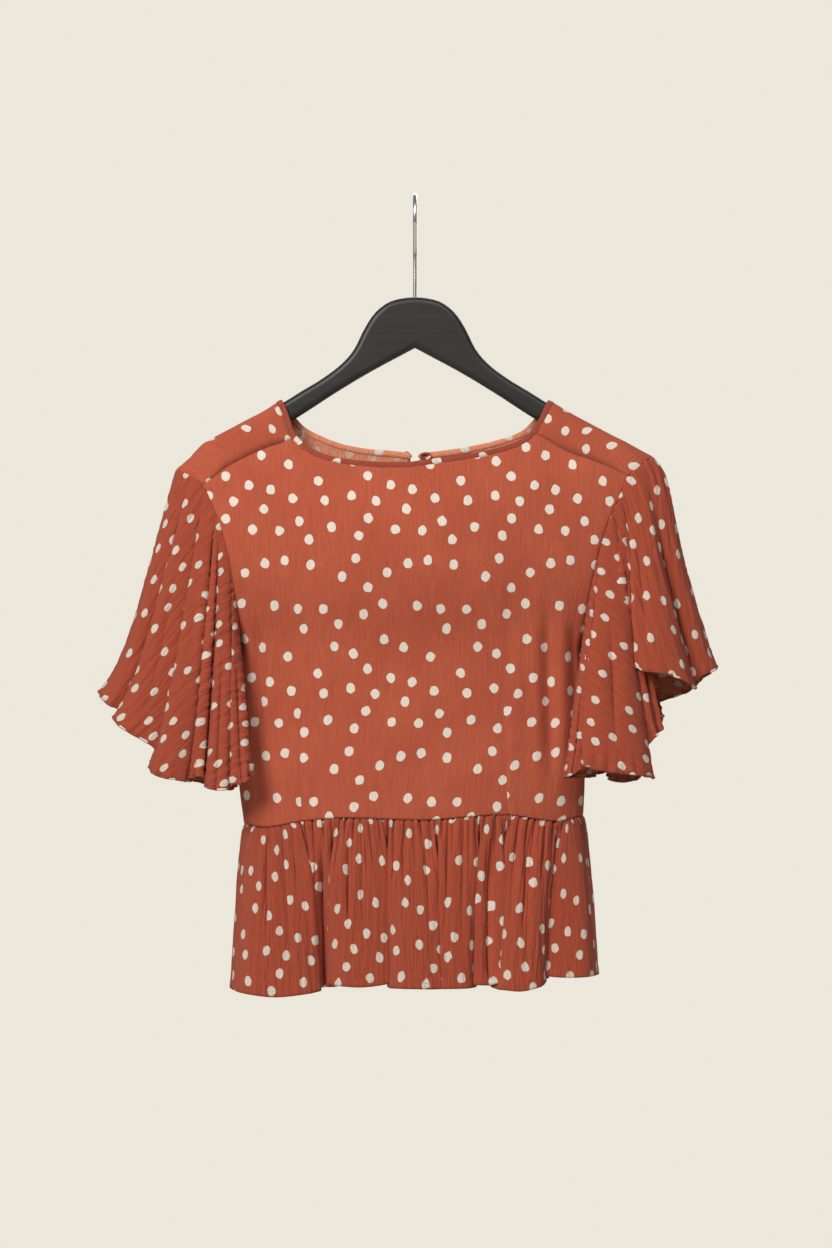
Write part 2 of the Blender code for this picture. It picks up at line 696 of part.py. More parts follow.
def make_binding(material, home):
    """The bound neck edge: one strip from the slit's -X end round the front to its +X end."""
    last = 2 * NECK_FRONT
    step = (NECK_FRONT - NECK_FRONT_SEAM) / (NECK_COLUMNS / 2)
    columns = [k * step for k in range(round(last / step) + 1)]

    def strip(place, reach):
        side = -1 if place <= NECK_FRONT else 1
        return neck_seam(side, place if side < 0 else last - place, reach)

    cloth("neck_binding", strip, columns, [0.0, BINDING_WIDTH], material, home, wall=BINDING_WALL)


def make_closure(material, home):
    """The covered button behind one end of the slit, and the loop bunched on the other end."""
    end = neck_edge(-1, 0)
    bm = bmesh.new()
    bmesh.ops.create_cone(
        bm, cap_ends=True, segments=20, radius1=BUTTON_RADIUS, radius2=BUTTON_RADIUS * 0.8, depth=BUTTON_THICK
    )
    mesh = bpy.data.meshes.new("button")
    bm.to_mesh(mesh)
    bm.free()
    button = placed("neck_button", mesh, material, home)
    button.rotation_euler = (-math.pi / 2, 0, 0)
    button_x = end.x - BUTTON_RADIUS - 1.0 * MM
    button_y = end.y + (BINDING_WALL + BUTTON_THICK) / 2 + SEAM_GAP
    button.location = (button_x, button_y, end.z - BINDING_WIDTH / 2)
    loop_y = end.y - BINDING_WALL / 2 - LOOP_GAP - LOOP_WIRE_RADIUS
    centre = Vector((-end.x + LOOP_REACH, loop_y, end.z - BINDING_WIDTH / 2))
    points = []
    for k in range(LOOP_STEPS):
        angle = 2 * math.pi * k / LOOP_STEPS
        points.append(centre + Vector((LOOP_WIDE * math.cos(angle), 0.0, LOOP_HIGH * math.sin(angle))))
    tube("neck_loop", points, LOOP_WIRE_RADIUS, material, home, closed=True)


def tube(name, points, radius, material, home, closed=False):
    """A round wire through the points."""
    curve = bpy.data.curves.new(name, "CURVE")
    curve.dimensions = "3D"
    curve.bevel_depth = radius
    curve.bevel_resolution = 2
    curve.use_fill_caps = True
    line = curve.splines.new("POLY")
    line.points.add(len(points) - 1)
    line.use_cyclic_u = closed
    for spot, point in zip(line.points, points):
        spot.co = (*point, 1.0)
    ob = bpy.data.objects.new(name, curve)
    curve.materials.append(material)
    home.objects.link(ob)
    return ob


def make_hook(material, home):
    """The wire hook: a stem out of the wood, bent back over the rail in the plane across the hanger."""
    centre = Vector((0.0, 0.0, -HOOK_RADIUS))
    bend = HOOK_RADIUS + WIRE_RADIUS
    points = [Vector((0.0, 0.0, STEM_FOOT)), Vector((0.0, 0.0, -70.0 * MM)), Vector((0.0, 0.0, -60.0 * MM))]
    steps_in = 6
    for k in range(1, steps_in + 1):
        angle = math.radians(mixed(270, 200, k / steps_in))
        ease = k / steps_in
        turn = Vector((0.0, math.cos(angle), math.sin(angle))) * bend
        points.append(mixed(Vector((0.0, 0.0, mixed(-58.0, -40.0, ease) * MM)), centre + turn, ease**1.3))
    steps = 22
    for k in range(1, steps + 1):
        angle = math.radians(mixed(200, -25, k / steps))
        points.append(centre + Vector((0.0, math.cos(angle), math.sin(angle))) * bend)
    return tube("hanger_hook", points, WIRE_RADIUS, material, home)


def make_hanger(material, home):
    """The flat wooden body with bevelled edges and a hole for the hook's stem."""
    half = [(r.x, r.z) for r in HANGER_HALF]
    outline = [(0.0, HANGER_APEX_Z)] + half + [(0.0, HANGER_TOP_Z)] + [(-x, z) for x, z in reversed(half)]
    curve = bpy.data.curves.new("hanger_outline", "CURVE")
    curve.dimensions = "2D"
    curve.fill_mode = "BOTH"
    curve.extrude = HANGER_THICK / 2
    line = curve.splines.new("POLY")
    line.points.add(len(outline) - 1)
    line.use_cyclic_u = True
    for spot, (x, z) in zip(line.points, outline):
        spot.co = (x * MM, z * MM, 0.0, 1.0)
    guide = bpy.data.objects.new("hanger_outline", curve)
    home.objects.link(guide)
    guide.rotation_euler = (math.pi / 2, 0, 0)
    bpy.context.view_layer.update()
    mesh = bpy.data.meshes.new_from_object(guide.evaluated_get(bpy.context.evaluated_depsgraph_get()))
    mesh.transform(guide.matrix_world)
    bpy.data.objects.remove(guide)
    bm = bmesh.new()
    bm.from_mesh(mesh)
    bmesh.ops.remove_doubles(bm, verts=bm.verts, dist=0.01 * MM)
    bmesh.ops.recalc_face_normals(bm, faces=bm.faces)
    bmesh.ops.dissolve_limit(bm, angle_limit=math.radians(0.5), verts=bm.verts, edges=bm.edges)
    bm.to_mesh(mesh)
    bm.free()
    body = placed("hanger_body", mesh, material, home)
    bevel = body.modifiers.new("Edges", "BEVEL")
    bevel.width = HANGER_BEVEL
    bevel.segments = 2
    bevel.limit_method = "ANGLE"
    bevel.angle_limit = math.radians(60)
    bevel.use_clamp_overlap = False
    return body


def bore(body, cutters):
    """Cut the hole that the hook's stem stands in."""
    foot = STEM_FOOT - STEM_HOLE_GAP
    top = (HANGER_TOP_Z + 5.0) * MM
    bm = bmesh.new()
    bmesh.ops.create_cone(
        bm,
        cap_ends=True,
        segments=16,
        radius1=WIRE_RADIUS + STEM_HOLE_GAP,
        radius2=WIRE_RADIUS + STEM_HOLE_GAP,
        depth=top - foot,
    )
    mesh = bpy.data.meshes.new("stem_bore")
    bm.to_mesh(mesh)
    bm.free()
    cutter = bpy.data.objects.new("stem_bore", mesh)
    cutter.location = (0.0, 0.0, (top + foot) / 2)
    cutter.hide_render = True
    cutter.display_type = "WIRE"
    cutters.objects.link(cutter)
    cut = body.modifiers.new("Stem bore", "BOOLEAN")
    cut.operation = "DIFFERENCE"
    cut.object = cutter


def main():
    """Clear the scene and build every piece."""
    for ob in list(bpy.data.objects):
        bpy.data.objects.remove(ob)
    home = bpy.data.collections.new("peplum_top")
    cutters = bpy.data.collections.new("cutters")
    for collection in (home, cutters):
        bpy.context.scene.collection.children.link(collection)
    cloth_finish = finish("rust_crepe", CLOTH_COLOUR, 0.9)
    binding_finish = finish("rust_binding", BINDING_COLOUR, 0.9)
    button_finish = finish("covered_button", BUTTON_COLOUR, 0.8)
    wood = finish("black_wood", WOOD_COLOUR, 0.5)
    chrome = finish("chrome", CHROME_COLOUR, 0.2, metallic=1.0)
    make_panels(cloth_finish, home)
    make_yokes(cloth_finish, home)
    make_sleeves(cloth_finish, home)
    make_peplum(cloth_finish, home)
    make_binding(binding_finish, home)
    make_closure(button_finish, home)
    body = make_hanger(wood, home)
    bore(body, cutters)
    make_hook(chrome, home)


if __name__ == "__main__":
    main()
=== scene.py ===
"""Looks of a peplum top that hangs on a wooden hanger.

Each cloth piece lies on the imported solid's own form, worked out from the same tables, with finer
folds, seams, hems and stitches. The origin is the inside crest of the hook, +Z is up and the front
of the top faces -Y. The tables are in millimetres and are read through MM.
"""

import logging
import math
import random
from bisect import bisect_right
from collections.abc import Sequence
from dataclasses import dataclass, field
from enum import Enum
from typing import NamedTuple

import bmesh
import bpy
import numpy as np
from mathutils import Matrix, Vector


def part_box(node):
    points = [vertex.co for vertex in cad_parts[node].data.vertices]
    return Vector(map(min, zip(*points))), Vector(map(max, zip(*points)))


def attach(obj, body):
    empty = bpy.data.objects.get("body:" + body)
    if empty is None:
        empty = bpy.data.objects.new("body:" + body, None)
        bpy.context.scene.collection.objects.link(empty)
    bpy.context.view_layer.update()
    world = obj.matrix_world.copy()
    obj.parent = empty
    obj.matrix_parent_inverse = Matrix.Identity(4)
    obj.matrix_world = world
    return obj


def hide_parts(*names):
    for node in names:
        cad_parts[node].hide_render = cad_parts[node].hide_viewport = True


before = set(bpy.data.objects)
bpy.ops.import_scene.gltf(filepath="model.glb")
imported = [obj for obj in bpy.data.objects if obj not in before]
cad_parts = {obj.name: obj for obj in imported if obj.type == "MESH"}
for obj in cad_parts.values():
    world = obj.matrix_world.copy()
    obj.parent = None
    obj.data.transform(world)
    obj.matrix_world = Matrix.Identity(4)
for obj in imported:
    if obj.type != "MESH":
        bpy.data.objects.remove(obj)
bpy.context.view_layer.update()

log = logging.getLogger("peplum_top")
logging.basicConfig(level=logging.INFO, format="%(message)s")

MM = 0.001
BODY = "root"
BIAS_CRINKLE = {"crinkle": 0.7, "crinkle_wide": 1.4, "crinkle_long": 9.0}

Array = np.ndarray
Piece = bpy.types.Object
Material = bpy.types.Material
Socket = bpy.types.NodeSocket
Colour = tuple[float, float, float, float]


def rows(kind: type, *values: tuple) -> tuple:
    """A table's rows, each with the columns that its kind names, in that order."""
    return tuple(kind(*row) for row in values)


class RingRow(NamedTuple):
    """One place on the edges at both ends of the X axis, which share a depth."""

    y: float
    x_low: float
    z_low: float
    x_high: float
    z_high: float


# From the back slit over the hanger to the front.
NECK = rows(
    RingRow,  # y, x_low, z_low, x_high, z_high
    (16.5, -2.5, -230.0, 2.5, -230.0),
    (16.0, -22.5, -227.7, 26.0, -227.5),
    (15.0, -44.1, -225.9, 50.4, -223.7),
    (13.5, -70.0, -220.4, 78.0, -217.2),
    (12.0, -96.3, -208.8, 96.3, -210.0),
    (10.8, -107.1, -198.9, 107.1, -199.8),
    (9.8, -115.2, -191.0, 115.2, -191.0),
    (8.0, -118.6, -184.6, 118.6, -184.6),
    (0.0, -119.9, -182.9, 119.9, -182.9),
    (-8.0, -118.6, -184.6, 118.6, -184.6),
    (-10.0, -115.2, -191.5, 115.2, -191.5),
    (-11.0, -111.5, -202.0, 111.0, -200.5),
    (-13.0, -106.5, -214.5, 104.5, -210.5),
    (-16.0, -93.0, -226.5, 91.0, -220.5),
    (-20.0, -70.2, -234.9, 64.8, -228.6),
    (-23.0, -36.0, -239.0, 32.0, -234.0),
    (-24.0, -5.0, -239.2, -5.0, -239.2),
)
NECK_BACK_SEAM = 4
NECK_CREST = 8
NECK_FRONT_SEAM = 12
NECK_FRONT = 16


# From the shoulder's crest down the front to the underarm.
ARMHOLE = rows(
    RingRow,  # y, x_low, z_low, x_high, z_high
    (0.0, -215.1, -245.3, 213.3, -233.6),
    (-8.5, -208.5, -247.5, 206.5, -238.0),
    (-13.0, -199.0, -253.0, 198.5, -245.0),
    (-15.0, -190.0, -259.2, 190.8, -251.1),
    (-19.5, -180.0, -280.0, 180.0, -276.3),
    (-22.5, -172.8, -299.7, 172.8, -292.0),
    (-24.0, -166.0, -327.0, 165.5, -315.0),
    (-22.5, -161.5, -354.0, 159.0, -342.0),
    (-16.0, -158.0, -382.0, 153.0, -375.0),
    (-0.5, -156.0, -407.7, 147.5, -408.5),
)
ARMHOLE_SEAM = 3
UNDERARM = 9


class YokeRow(NamedTuple):
    """One place along the shoulder: the front seam's height, and the crest's outer line."""

    x: float
    seam_z: float
    crest_z: float


YOKE_LOW = rows(
    YokeRow,  # x, seam_z, crest_z
    (-111.0, -217.6, -179.1),
    (-132.3, -225.9, -190.5),
    (-152.6, -234.9, -201.3),
    (-176.9, -248.4, -214.2),
    (-185.4, -255.0, -218.7),
    (-198.9, -262.0, -228.6),
    (-215.1, -268.0, -244.8),
)
YOKE_HIGH = rows(
    YokeRow,  # x, seam_z, crest_z
    (108.0, -213.7, -177.6),
    (137.7, -230.0, -193.4),
    (157.5, -236.9, -203.9),
    (176.9, -244.6, -214.2),
    (190.8, -251.1, -221.0),
    (208.8, -258.0, -231.0),
    (213.3, -260.0, -233.1),
)


class WaistRow(NamedTuple):
    """The waist seam's height at a share of the way across, from the -X side to the +X side."""

    share: float
    z: float


WAIST = rows(
    WaistRow,  # share, z
    (0.00, -563.4),
    (0.07, -566.1),
    (0.17, -560.5),
    (0.30, -557.2),
    (0.53, -558.9),
    (0.77, -554.6),
    (0.92, -560.7),
    (1.00, -556.2),
)


class SideRow(NamedTuple):
    """How far out both side seams lie, from the waist to the underarm."""

    share: float
    x_low: float
    x_high: float
    z: float


SIDE_SEAM = rows(
    SideRow,  # share, x_low, x_high, z
    (0.35, -158.5, 152.3, -520.0),
    (0.75, -159.5, 150.5, -450.0),
)


class Wave(NamedTuple):
    """One flute of a hem: it runs from start to end across the view, with its crest farthest out.

    seam is the place on the upper seam where the valley that ends the flute begins. crest and
    valley are depths along Y, and the z columns are the hem's height along the flute.
    """

    seam: float
    start: float
    end: float
    z_from: float
    z_mid: float
    z_to: float
    crest: float
    valley: float


class Hem(NamedTuple):
    """A hem line: its first and last points, and the flutes between them."""

    first: tuple
    waves: tuple
    last: tuple


SLEEVE_LOW_FRONT = Hem(
    first=(-284.4, 0.0, -444.6),
    waves=rows(
        Wave,  # seam, start, end, z_from, z_mid, z_to, crest, valley
        (1.7, -282, -263.7, -449, -457, -461.7, -19, -15),
        (3.1, -269, -227.7, -468, -484, -501.3, -40, -31),
        (4.2, -236, -205, -514, -521, -523.8, -53, -34),
        (5.0, -205.5, -181, -523, -520, -517.0, -43, -34),
        (6.3, -187, -164, -527.4, -531, -531, -59, -39),
        (8.0, -165, -145, -527.4, -525, -518, -57, -26),
    ),
    last=(-170.5, 0.0, -530.0),
)
SLEEVE_LOW_BACK = Hem(
    first=(-170.5, 0.0, -530.0),
    waves=rows(
        Wave,  # seam, start, end, z_from, z_mid, z_to, crest, valley
        (10.8, -167, -183, -530, -531, -530, 46, 33),
        (12.4, -182, -203, -529.7, -529, -525.6, 52, 36),
        (14.0, -201, -229.5, -520, -510, -499, 44, 27),
        (15.8, -227, -262, -497, -480, -460, 35, 15),
    ),
    last=(-284.4, 0.0, -444.6),
)
SLEEVE_HIGH_FRONT = Hem(
    first=(271.8, 0.0, -422.1),
    waves=rows(
        Wave,  # seam, start, end, z_from, z_mid, z_to, crest, valley
        (1.7, 270, 250, -424, -428.4, -437.4, -20, -14),
        (3.7, 250, 195, -441.9, -428, -423, -46, -17),
        (4.4, 219, 194.4, -474, -492, -507, -38, -25),
        (6.2, 213, 146, -521, -515.7, -508.5, -58, -36),
        (8.2, 148, 134, -510, -517.0, -521.0, -50, -25),
    ),
    last=(162.0, 0.0, -521.0),
)
SLEEVE_HIGH_BACK = Hem(
    first=(162.0, 0.0, -521.0),
    waves=rows(
        Wave,  # seam, start, end, z_from, z_mid, z_to, crest, valley
        (10.8, 160, 178, -521, -519.5, -518.5, 46, 33),
        (12.4, 179, 203, -526, -528, -524, 52, 36),
        (14.0, 202, 224, -506, -490, -470, 44, 28),
        (15.8, 221, 249, -456, -450, -443.7, 34, 15),
    ),
    last=(271.8, 0.0, -422.1),
)
PEPLUM_FRONT = Hem(
    first=(-165.2, -0.15, -709.0),
    waves=rows(
        Wave,  # seam, start, end, z_from, z_mid, z_to, crest, valley
        (0.174, -164, -86, -710, -715.5, -711, -58, -38),
        (0.264, -93, -71, -709, -708, -707, -45, -37),
        (0.420, -75, -18, -705, -706.5, -702, -61, -44),
        (0.565, -23, 22, -707, -707.5, -708, -68, -54),
        (0.698, 20, 52, -708, -707.5, -707, -65, -40),
        (0.773, 51, 79, -705, -704.5, -701, -59, -42),
        (0.930, 74, 114.5, -708, -709.5, -704, -68, -39),
        (0.985, 113, 162, -697, -698.5, -697.5, -54, -14),
    ),
    last=(164.7, -0.15, -699.5),
)
PEPLUM_BACK = Hem(
    first=(-165.2, 0.15, -709.0),
    waves=rows(
        Wave,  # seam, start, end, z_from, z_mid, z_to, crest, valley
        (0.140, -164, -104, -710, -712, -709, 52, 38),
        (0.300, -104, -62, -708, -709, -707, 58, 41),
        (0.430, -63, -18, -706, -707, -704, 60, 44),
        (0.570, -19, 26, -704, -706, -705, 62, 43),
        (0.720, 25, 70, -704, -705, -702, 60, 40),
        (0.860, 71, 112, -702, -703, -700, 56, 37),
        (0.985, 112, 163, -699, -700, -698, 50, 13),
    ),
    last=(164.7, 0.15, -699.5),
)


class OutlineRow(NamedTuple):
    """One corner of the +X half of the hanger's outline."""

    x: float
    z: float


HANGER_HALF = rows(
    OutlineRow,  # x, z
    (40.9, -158.0),
    (71.5, -176.4),
    (109.4, -200.7),
    (150.0, -222.4),
    (176.0, -236.4),
    (184.5, -237.8),
    (189.5, -232.5),
    (188.5, -225.0),
    (182.0, -219.4),
    (150.0, -201.8),
    (118.8, -185.2),
    (101.7, -174.6),
    (84.6, -164.3),
    (67.0, -151.2),
    (55.4, -138.2),
    (45.5, -118.8),
    (36.0, -104.4),
    (23.4, -94.6),
    (10.0, -91.0),
)
HANGER_APEX_Z = -136.0
HANGER_TOP_Z = -90.4


class Side(Enum):
    """An end of the X axis."""

    LOW = -1
    HIGH = 1


class Face(Enum):
    """A face of the top."""

    FRONT = -1
    BACK = 1


def mixed(a, b, share):
    """The value that lies share of the way from a to b."""
    return a + (b - a) * share


def bell(away):
    """A bell that is 1 high at 0 and narrow beyond 1."""
    return np.exp(-(away**2))


def unit(vectors: Array) -> Array:
    """Vectors, along the last axis, at a length of 1."""
    return vectors / np.maximum(np.linalg.norm(vectors, axis=-1, keepdims=True), 1e-12)


def run_of(line: Array) -> Array:
    """How far along a line each of its points lies."""
    return np.concatenate([[0.0], np.cumsum(np.linalg.norm(np.diff(line, axis=0), axis=1))])


def drawn(start: Array, end: Array, *shares: Array) -> Array:
    """Points between each column's start and end, with a grid of shares each for x, y and z."""
    ways = [mixed(start[:, a : a + 1], end[:, a : a + 1], share) for a, share in enumerate(shares)]
    return np.stack(ways, axis=2)


def facing(points: Array, y: object, z: float = 0.0) -> Array:
    """Which way the right side of a grid's points faces, roughly, by its Y and Z parts."""
    out = np.zeros_like(points)
    out[..., 1], out[..., 2] = y, z
    return out


def waves(run: Array, *parts: tuple[float, float, float]) -> Array:
    """Sines added up along a run: a height, a length in millimetres and a start for each."""
    return sum(height * np.sin(run / (length * MM) + start) for height, length, start in parts)


def mesh_of(name: str, bm: bmesh.types.BMesh) -> bpy.types.Mesh:
    """Turn a BMesh into a new mesh."""
    mesh = bpy.data.meshes.new(name)
    bm.to_mesh(mesh)
    bm.free()
    return mesh


def linked(name: str, data: object) -> Piece:
    """Put an object with some data in the scene."""
    thing = bpy.data.objects.new(name, data)
    bpy.context.scene.collection.objects.link(thing)
    return thing


def eased(low: float, high: float, at):
    """A soft step from 0 at low to 1 at high.

    Args:
        low: Where the step begins.
        high: Where it ends.
        at: A number or an array of numbers.

    Returns:
        The step's height at each number.
    """
    t = np.clip((at - low) / (high - low), 0.0, 1.0)
    return t * t * (3 - 2 * t)


def smooth(stops: Sequence, at: float):
    """Read a smooth curve through stops.

    Args:
        stops: Pairs of place and value, in rising order of place.
        at: The place to read.

    Returns:
        The value there, a number or a Vector as the stops have.
    """
    places = [place for place, _ in stops]
    k = min(max(bisect_right(places, at) - 1, 0), len(stops) - 2)

    def slope(i: int):
        """The curve's slope at stop i."""
        low, high = max(i - 1, 0), min(i + 1, len(stops) - 1)
        return (stops[high][1] - stops[low][1]) / (places[high] - places[low])

    span = places[k + 1] - places[k]
    t = min(max((at - places[k]) / span, 0.0), 1.0)
    rise = stops[k + 1][1] - stops[k][1]
    left = slope(k) * span
    right = slope(k + 1) * span
    curve = (rise * 3 - left * 2 - right) * t**2 + (left + right - rise * 2) * t**3
    return stops[k][1] + left * t + curve


@dataclass(frozen=True)
class Cut:
    """The top's seams and edges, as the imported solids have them."""

    binding_width: float = 5.5 * MM
    binding_gap: float = -1.4 * MM
    seam_gap: float = 0.3 * MM
    waist_gap: float = 0.25 * MM
    yoke_gap: float = 0.1 * MM
    wall: float = 1.0 * MM
    neck_centre: Vector = field(default_factory=lambda: Vector((0.0, 0.0, -120.6 * MM)))
    chest_swell: float = 14.0 * MM
    chest_rise: float = 16.0 * MM
    yoke_power: float = 4.0
    waist_power: float = 2.3
    waist_low_x: float = -153.5 * MM
    waist_high_x: float = 151.0 * MM
    waist_front: float = 40.0 * MM
    waist_back: float = 36.0 * MM
    underarm_share: float = 0.5
    yoke_corner: float = 8 / 28

    def ring(self, table: Sequence, side: int) -> list:
        """The stops of a table with low and high halves, in metres, by row number."""
        ends = [(r.x_low, r.z_low) if side < 0 else (r.x_high, r.z_high) for r in table]
        return [(i, Vector((x, r.y, z)) * MM) for i, (r, (x, z)) in enumerate(zip(table, ends))]

    def neck_edge(self, side: int, place: float) -> Vector:
        """The free edge of the neck at a row number."""
        return smooth(self.ring(NECK, side), place)

    def neck_seam(self, side: int, place: float, reach: float) -> Vector:
        """The point that lies reach away from the neck's free edge."""
        edge = self.neck_edge(side, place)
        away = edge - self.neck_centre
        away.y = 0.0
        return edge + away.normalized() * reach

    def armhole(self, side: int, place: float) -> Vector:
        """The armhole by row number: 0 the crest, 9 the underarm, then up the back to 18."""
        front = place <= UNDERARM
        point = smooth(self.ring(ARMHOLE, side), place if front else 2 * UNDERARM - place)
        if not front:
            point.y = -point.y
        return point

    def yoke(self, side: int, along: float, turn: float) -> Vector:
        """A point of the shoulder piece.

        Args:
            side: -1 or 1, the end of the X axis it lies at.
            along: 0 at the neck binding, 1 at the armhole.
            turn: -1 at the front seam, 0 on the crest, 1 at the back seam.

        Returns:
            The point on the middle of the cloth.
        """
        place = NECK_CREST - (NECK_FRONT_SEAM - NECK_CREST) * turn
        inner = self.neck_seam(side, place, self.binding_width + self.binding_gap)
        outer = self.armhole(side, abs(turn) * ARMHOLE_SEAM)
        if turn > 0:
            outer.y = -outer.y
        x = mixed(inner.x, outer.x, along)
        table = YOKE_LOW if side < 0 else YOKE_HIGH
        crest = smooth([(abs(r.x) * MM, r.crest_z * MM) for r in table], abs(x)) - self.wall / 2
        seam = smooth([(abs(r.x) * MM, r.seam_z * MM) for r in table], abs(x))
        angle = turn * math.pi / 2
        neck_depth = abs(self.neck_seam(side, NECK_FRONT_SEAM, self.binding_width).y)
        depth = mixed(neck_depth, abs(ARMHOLE[ARMHOLE_SEAM].y) * MM, along)
        y = depth * math.copysign(abs(math.sin(angle)) ** (2 / self.yoke_power), turn)
        z = mixed(seam, crest, abs(math.cos(angle)) ** (2 / self.yoke_power))
        hold = min(4 * along, 4 * (1 - along), 1.0)
        return mixed(mixed(inner, outer, along), Vector((x, y, z)), hold)

    def waist(self, share: float, face: int) -> Vector:
        """The waist seam: share 0 at the -X side and 1 at the +X side."""
        angle = share * math.pi
        middle = (self.waist_low_x + self.waist_high_x) / 2
        half = (self.waist_high_x - self.waist_low_x) / 2
        across = math.copysign(abs(math.cos(angle)) ** (2 / self.waist_power), -math.cos(angle))
        depth = self.waist_front if face < 0 else self.waist_back
        away = math.sin(angle) ** (2 / self.waist_power) * depth + self.seam_gap
        z = smooth([(r.share, r.z * MM) for r in WAIST], (across + 1) / 2)
        return Vector((middle + half * across, face * away, z))

    def side_edge(self, side: int, face: int, share: float) -> Vector:
        """A panel's outer edge: the waist at 0, the underarm half way, the yoke seam at 1."""
        if share >= self.underarm_share:
            up = (share - self.underarm_share) / (1 - self.underarm_share)
            point = self.armhole(side, mixed(UNDERARM, ARMHOLE_SEAM, up))
            point.y = face * abs(point.y)
            point.z -= self.yoke_gap * up**4
            return point
        foot = self.waist(0.0 if side < 0 else 1.0, face)
        top = self.armhole(side, UNDERARM)
        top.y = face * abs(top.y)
        stops = [(0.0, foot)]
        for row in SIDE_SEAM:
            x = row.x_low if side < 0 else row.x_high
            stops.append((row.share, Vector((x * MM, mixed(foot.y, top.y, row.share), row.z * MM))))
        stops.append((1.0, top))
        return smooth(stops, share / self.underarm_share)

    def seam_along(self, share: float) -> float:
        """How far along the shoulder seam a place on a panel's top lies: 1 at the armhole."""
        corner = math.cos(self.yoke_corner * math.pi)
        return (math.cos(share * math.pi) - corner) / (1 - corner)

    def panel_top(self, face: int, share: float) -> Vector:
        """The top edge of the front or back panel, from -X to +X."""
        side = -1 if share <= 0.5 else 1
        inside = min(share, 1 - share)
        if inside < self.yoke_corner:
            point = self.yoke(side, self.seam_along(inside), face)
            point.z -= self.yoke_gap
            return point
        inward = (inside - self.yoke_corner) / (0.5 - self.yoke_corner)
        start, stop = (NECK_FRONT_SEAM, NECK_FRONT) if face < 0 else (NECK_BACK_SEAM, 0)
        point = self.neck_seam(side, mixed(start, stop, inward), self.binding_width + self.binding_gap)
        point.z -= self.seam_gap * (1 - inward)
        return point

    def panel(self, face: int, shares: Array, heights: Array) -> Array:
        """A bodice panel, blended from its four edges.

        Args:
            face: -1 for the front, 1 for the back.
            shares: Places across, from 0 at -X to 1 at +X.
            heights: Places up, from 0 at the waist to 1 at the top edge.

        Returns:
            The points, by share and height.
        """
        h = heights[None, :, None]
        low = np.array([self.side_edge(-1, face, v) for v in heights])[None, :, :]
        high = np.array([self.side_edge(1, face, v) for v in heights])[None, :, :]
        round_body = ((1 - np.cos(shares * math.pi)) / 2)[:, None, None]
        waists = np.array([self.waist(v, face) for v in shares])[:, None, :]
        tops = np.array([self.panel_top(face, v) for v in shares])[:, None, :]
        foot = mixed(waists[:1], waists[-1:], round_body)
        head = mixed(tops[:1], tops[-1:], round_body)
        out = np.array([0.0, face * self.chest_swell, self.chest_rise])
        swell = np.sin(shares * math.pi)[:, None, None] * out
        sides = mixed(low, high, round_body)
        return sides + (waists - foot) * (1 - h) + swell * h + (tops - head - swell) * h**3


CUT = Cut()


@dataclass(frozen=True)
class HemLine:
    """The stops of a hem, by place on the seam above it, and how full each flute is."""

    turn: float = 0.16
    steps: tuple[float, float] = (0.5, 0.9)

    def stops(self, hem: Hem, seam_start: float, seam_end: float) -> list:
        """Work out the stops of a hem line.

        Args:
            hem: The hem's table.
            seam_start: The place on the seam above its first point.
            seam_end: The place on the seam above its last point.

        Returns:
            Pairs of place and point: five to a flute and one to a valley.
        """
        stops = [(seam_start, Vector(hem.first) * MM)]
        before, valley = seam_start, hem.first[1]
        for k, wave in enumerate(hem.waves):
            span = wave.seam - before
            turn = self.turn * (wave.end - wave.start)
            next_x, next_z = hem.last[0], hem.last[2]
            if k + 1 < len(hem.waves):
                next_x, next_z = hem.waves[k + 1].start, hem.waves[k + 1].z_from
            rise = [mixed(valley, wave.crest, share) for share in self.steps]
            fall = [mixed(wave.valley, wave.crest, share) for share in self.steps]
            shape = (
                (0.10, wave.start, rise[0], wave.z_from),
                (0.27, wave.start + turn, rise[1], mixed(wave.z_from, wave.z_mid, 0.5)),
                (0.50, mixed(wave.start, wave.end, 0.5), wave.crest, wave.z_mid),
                (0.73, wave.end - turn, fall[1], mixed(wave.z_to, wave.z_mid, 0.5)),
                (0.90, wave.end, fall[0], wave.z_to),
                (1.00, mixed(wave.end, next_x, 0.5), wave.valley, mixed(wave.z_to, next_z, 0.5)),
            )
            stops += [(before + share * span, Vector((x, y, z)) * MM) for share, x, y, z in shape]
            before, valley = wave.seam, wave.valley
        stops.append((seam_end, Vector(hem.last) * MM))
        return stops


def even_places(stops: Sequence, count: int, folds: Sequence) -> Array:
    """Places on a hem line that are evenly far apart along it, and closer at its folds.

    Args:
        stops: The hem line's stops.
        count: How many spans there are.
        folds: The folds that start on the seam above it.

    Returns:
        count + 1 places, with the first and last stop's places at the ends.
    """
    steps_a_stop, by_length, closer, reach = 24, 0.75, 1.6, 8 * MM
    places = np.linspace(stops[0][0], stops[-1][0], steps_a_stop * len(stops) + 1)
    length = run_of(np.array([smooth(stops, at) for at in places]))
    share = (1 - by_length) * (places - places[0]) / (places[-1] - places[0])
    share = share + by_length * length / length[-1]
    middle = (length[1:] + length[:-1]) / 2
    weight = np.ones(len(middle))
    for fold in folds:
        weight += closer * bell((middle - np.interp(fold.place, places, length)) / reach)
    share = np.concatenate([[0.0], np.cumsum(np.diff(share) * weight)])
    return np.interp(np.linspace(0, 1, count + 1), share / share[-1], places)


def normals_of(points: Array) -> Array:
    """The unit normals of a grid of points, from its neighbours' differences."""
    return unit(np.cross(np.gradient(points, axis=0), np.gradient(points, axis=1)))


def lengths(points: Array, axis: int) -> Array:
    """Distances from the first point along one way of a grid."""
    steps = np.linalg.norm(np.diff(points, axis=axis), axis=2)
    start = np.zeros_like(points[..., 0][:1] if axis == 0 else points[..., 0][:, :1])
    return np.concatenate([start, np.cumsum(steps, axis=axis)], axis=axis)


